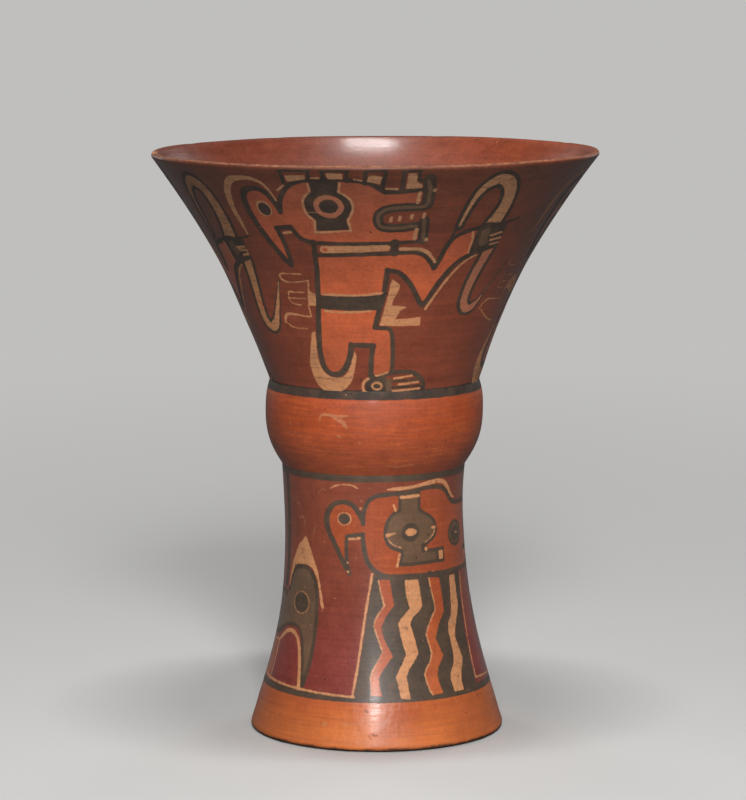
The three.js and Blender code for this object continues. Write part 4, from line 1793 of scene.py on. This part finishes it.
class KERO_OT_rim_coil(bpy.types.Operator):
    """Turns and paints the last coil, which is drawn up thin and rounded over into the lip"""

    bl_idname = "kero.rim_coil"
    bl_label = "Rim Coil"

    def execute(self, context):
        shape = context.scene.kero_shape
        wall = Wall(shape)
        bottom = wall.at_height(highest("bowl_coil_3") / MM)
        up = even_steps(bottom, wall.total, PAINT_GRID)
        down = even_steps(wall.total, bottom - shape.scarf_lap / MM, PLAIN_GRID)
        start, end = wall.outside([wall.total])[0], wall.inside([wall.total])[0]
        middle = (start + end) / 2
        side = start - middle
        angles = np.linspace(0, math.pi, LIP_STEPS + 1)[1:-1, None]
        lip = middle + side * np.cos(angles) + np.array([-side[1], side[0]]) * np.sin(angles)
        beyond = wall.total + np.arange(1, LIP_PAINTED + 1) * LIP_STRIDE
        section = section_of(
            np.vstack([wall.outside(up), lip[:LIP_PAINTED]]),
            np.concatenate([up, beyond]),
            np.vstack([lip[LIP_PAINTED:], wall.inside(down)]),
        )
        piece = build(
            context, "rim_coil", section, bowl_marks(), [],
            wall.neck, BOWL_HABIT, strips=RIM_STRIPS,
        )
        lip_wear(piece)
        return {"FINISHED"}


# The number of the floor's sides and, in metres, its radius, its gap below the cup, and how far from the cup
# it turns from a lit surface into an even glow
FLOOR_SIDES = 96
FLOOR_RADIUS = 60
FLOOR_GAP = 0.0002
FLOOR_FADE = (0.05, 1.1)
# How far the camera sees, in metres, and the light from all round, as a share of white
CAMERA_SIGHT = 20
WORLD_LIGHT = 0.02

# Each lamp's name, place, aim and size in metres, and its watts
LAMPS = (
    ("key lamp", (0.08, -1.3, 0.95), (0, 0, 0.1), (0.28, 0.4), 17.6),
    ("low lamp", (-0.06, -1.3, 0.475), (0, 0, 0.02), (0.2, 0.03), 4.4),
    ("top lamp", (0.022, -0.215, 1.42), (0, 0, 0.15), (0.34, 0.1), 5.8),
    ("left lamp", (-0.8, -0.25, 1.25), (0, 0, 0.15), (0.2, 0.2), 0.5),
    ("right lamp", (1.16, -0.52, 0.7), (0, 0, 0.05), (0.3, 0.5), 0.15),
    ("back left lamp", (-0.75, 1.06, 0.5), (0, 0, 0.1), (0.4, 0.4), 2.8),
    ("back right lamp", (0.75, 1.06, 0.5), (0, 0, 0.1), (0.4, 0.4), 2.8),
)


class KERO_OT_studio(bpy.types.Operator):
    """Lays the floor, hangs the lamps and sets up the camera"""

    bl_idname = "kero.studio"
    bl_label = "Studio"

    def execute(self, context):
        studio = context.scene.kero_studio
        self.lay_floor(studio)
        self.hang_lamps(context)
        bpy.ops.object.camera_add(
            location=(-studio.aside, -studio.distance, studio.height),
            rotation=(math.pi / 2 - studio.pitch, 0, 0),
        )
        camera = context.object
        camera.name = "camera"
        camera.data.lens = studio.lens
        camera.data.clip_end = CAMERA_SIGHT
        context.scene.camera = camera
        context.scene.view_settings.view_transform = "Standard"
        return {"FINISHED"}

    def lay_floor(self, studio):
        """A wide flat floor that fades, away from the cup, into an even glow."""
        bpy.ops.object.select_all(action="DESELECT")
        bpy.ops.mesh.primitive_circle_add(
            vertices=FLOOR_SIDES, radius=FLOOR_RADIUS, fill_type="NGON", location=(0, 0, -FLOOR_GAP)
        )
        bpy.ops.object.transform_apply()
        floor = bpy.context.object
        floor.name = "studio_floor"
        shader = Shader("studio floor")
        length = {"operation": "LENGTH"}
        away = shader.node("ShaderNodeVectorMath", length, {0: shader.place()}, output="Value")
        far = away.within(*FLOOR_FADE)
        far = far * far * (3 - 2 * far)
        seen = self.seen_ray(shader, studio.sheen)
        near_colour = shader.mix(seen, rgba(studio.bounce), rgba(studio.floor))
        unlit = (0, 0, 0, 1)
        floor.data.materials.append(shader.finish(
            Base_Color=shader.mix(far, near_colour, unlit),
            Roughness=0.9,
            Specular_IOR_Level=0.1,
            Emission_Color=shader.mix(far * seen, unlit, rgba(studio.floor, studio.backdrop)),
            Emission_Strength=1.0,
        ))

    def seen_ray(self, shader, sheen):
        """1 for rays that show the floor, less for its mirror image and 0 for rays that carry its light."""
        camera = shader.node("ShaderNodeLightPath", output="Is Camera Ray")
        glossy = shader.node("ShaderNodeLightPath", output="Is Glossy Ray")
        through = shader.node("ShaderNodeLightPath", output="Is Transmission Ray")
        return camera.math("MAXIMUM", glossy * sheen).math("MAXIMUM", through)

    def hang_lamps(self, context):
        """The lamps, each turned to its aim, and a faint light from all round."""
        for name, place, aim, size, watts in LAMPS:
            bpy.ops.object.light_add(type="AREA", location=place)
            lamp = context.object
            lamp.name = name
            lamp.data.shape = "RECTANGLE"
            lamp.data.size, lamp.data.size_y = size
            lamp.data.energy = watts
            across, away, up = np.array(aim) - np.array(place)
            tilt = math.pi / 2 + math.atan2(up, math.hypot(across, away))
            lamp.rotation_euler = (tilt, 0, math.atan2(-across, away))
        world = bpy.data.worlds.new("studio light")
        world.use_nodes = True
        sky = world.node_tree.nodes["Background"]
        sky.inputs["Color"].default_value = (1, 1, 1, 1)
        sky.inputs["Strength"].default_value = WORLD_LIGHT
        context.scene.world = world


class KERO_PT_panel(bpy.types.Panel):
    """Lists the pieces of the cup and their settings"""

    bl_idname = "KERO_PT_panel"
    bl_label = "Kero Cup"
    bl_space_type = "VIEW_3D"
    bl_region_type = "UI"
    bl_category = "Kero"

    def draw(self, context):
        for settings in (context.scene.kero_shape, context.scene.kero_slips, context.scene.kero_studio):
            box = self.layout.box()
            for name in settings.__annotations__:
                box.prop(settings, name)
        for operator in PIECES:
            self.layout.operator(operator.bl_idname)


PIECES = (
    KERO_OT_floor_disc,
    KERO_OT_stem_coils,
    KERO_OT_belt,
    KERO_OT_bowl_coils,
    KERO_OT_rim_coil,
    KERO_OT_studio,
)
CLASSES = (KeroShape, KeroSlips, KeroStudio, *PIECES, KERO_PT_panel)


def register():
    for cls in CLASSES:
        bpy.utils.register_class(cls)
    bpy.types.Scene.kero_shape = bpy.props.PointerProperty(type=KeroShape)
    bpy.types.Scene.kero_slips = bpy.props.PointerProperty(type=KeroSlips)
    bpy.types.Scene.kero_studio = bpy.props.PointerProperty(type=KeroStudio)


def unregister():
    del bpy.types.Scene.kero_studio
    del bpy.types.Scene.kero_slips
    del bpy.types.Scene.kero_shape
    for cls in reversed(CLASSES):
        bpy.utils.unregister_class(cls)


def main():
    register()
    bpy.ops.kero.floor_disc()
    bpy.ops.kero.stem_coils()
    bpy.ops.kero.belt()
    bpy.ops.kero.bowl_coils()
    bpy.ops.kero.rim_coil()
    bpy.ops.kero.studio()


if __name__ == "__main__":
    main()
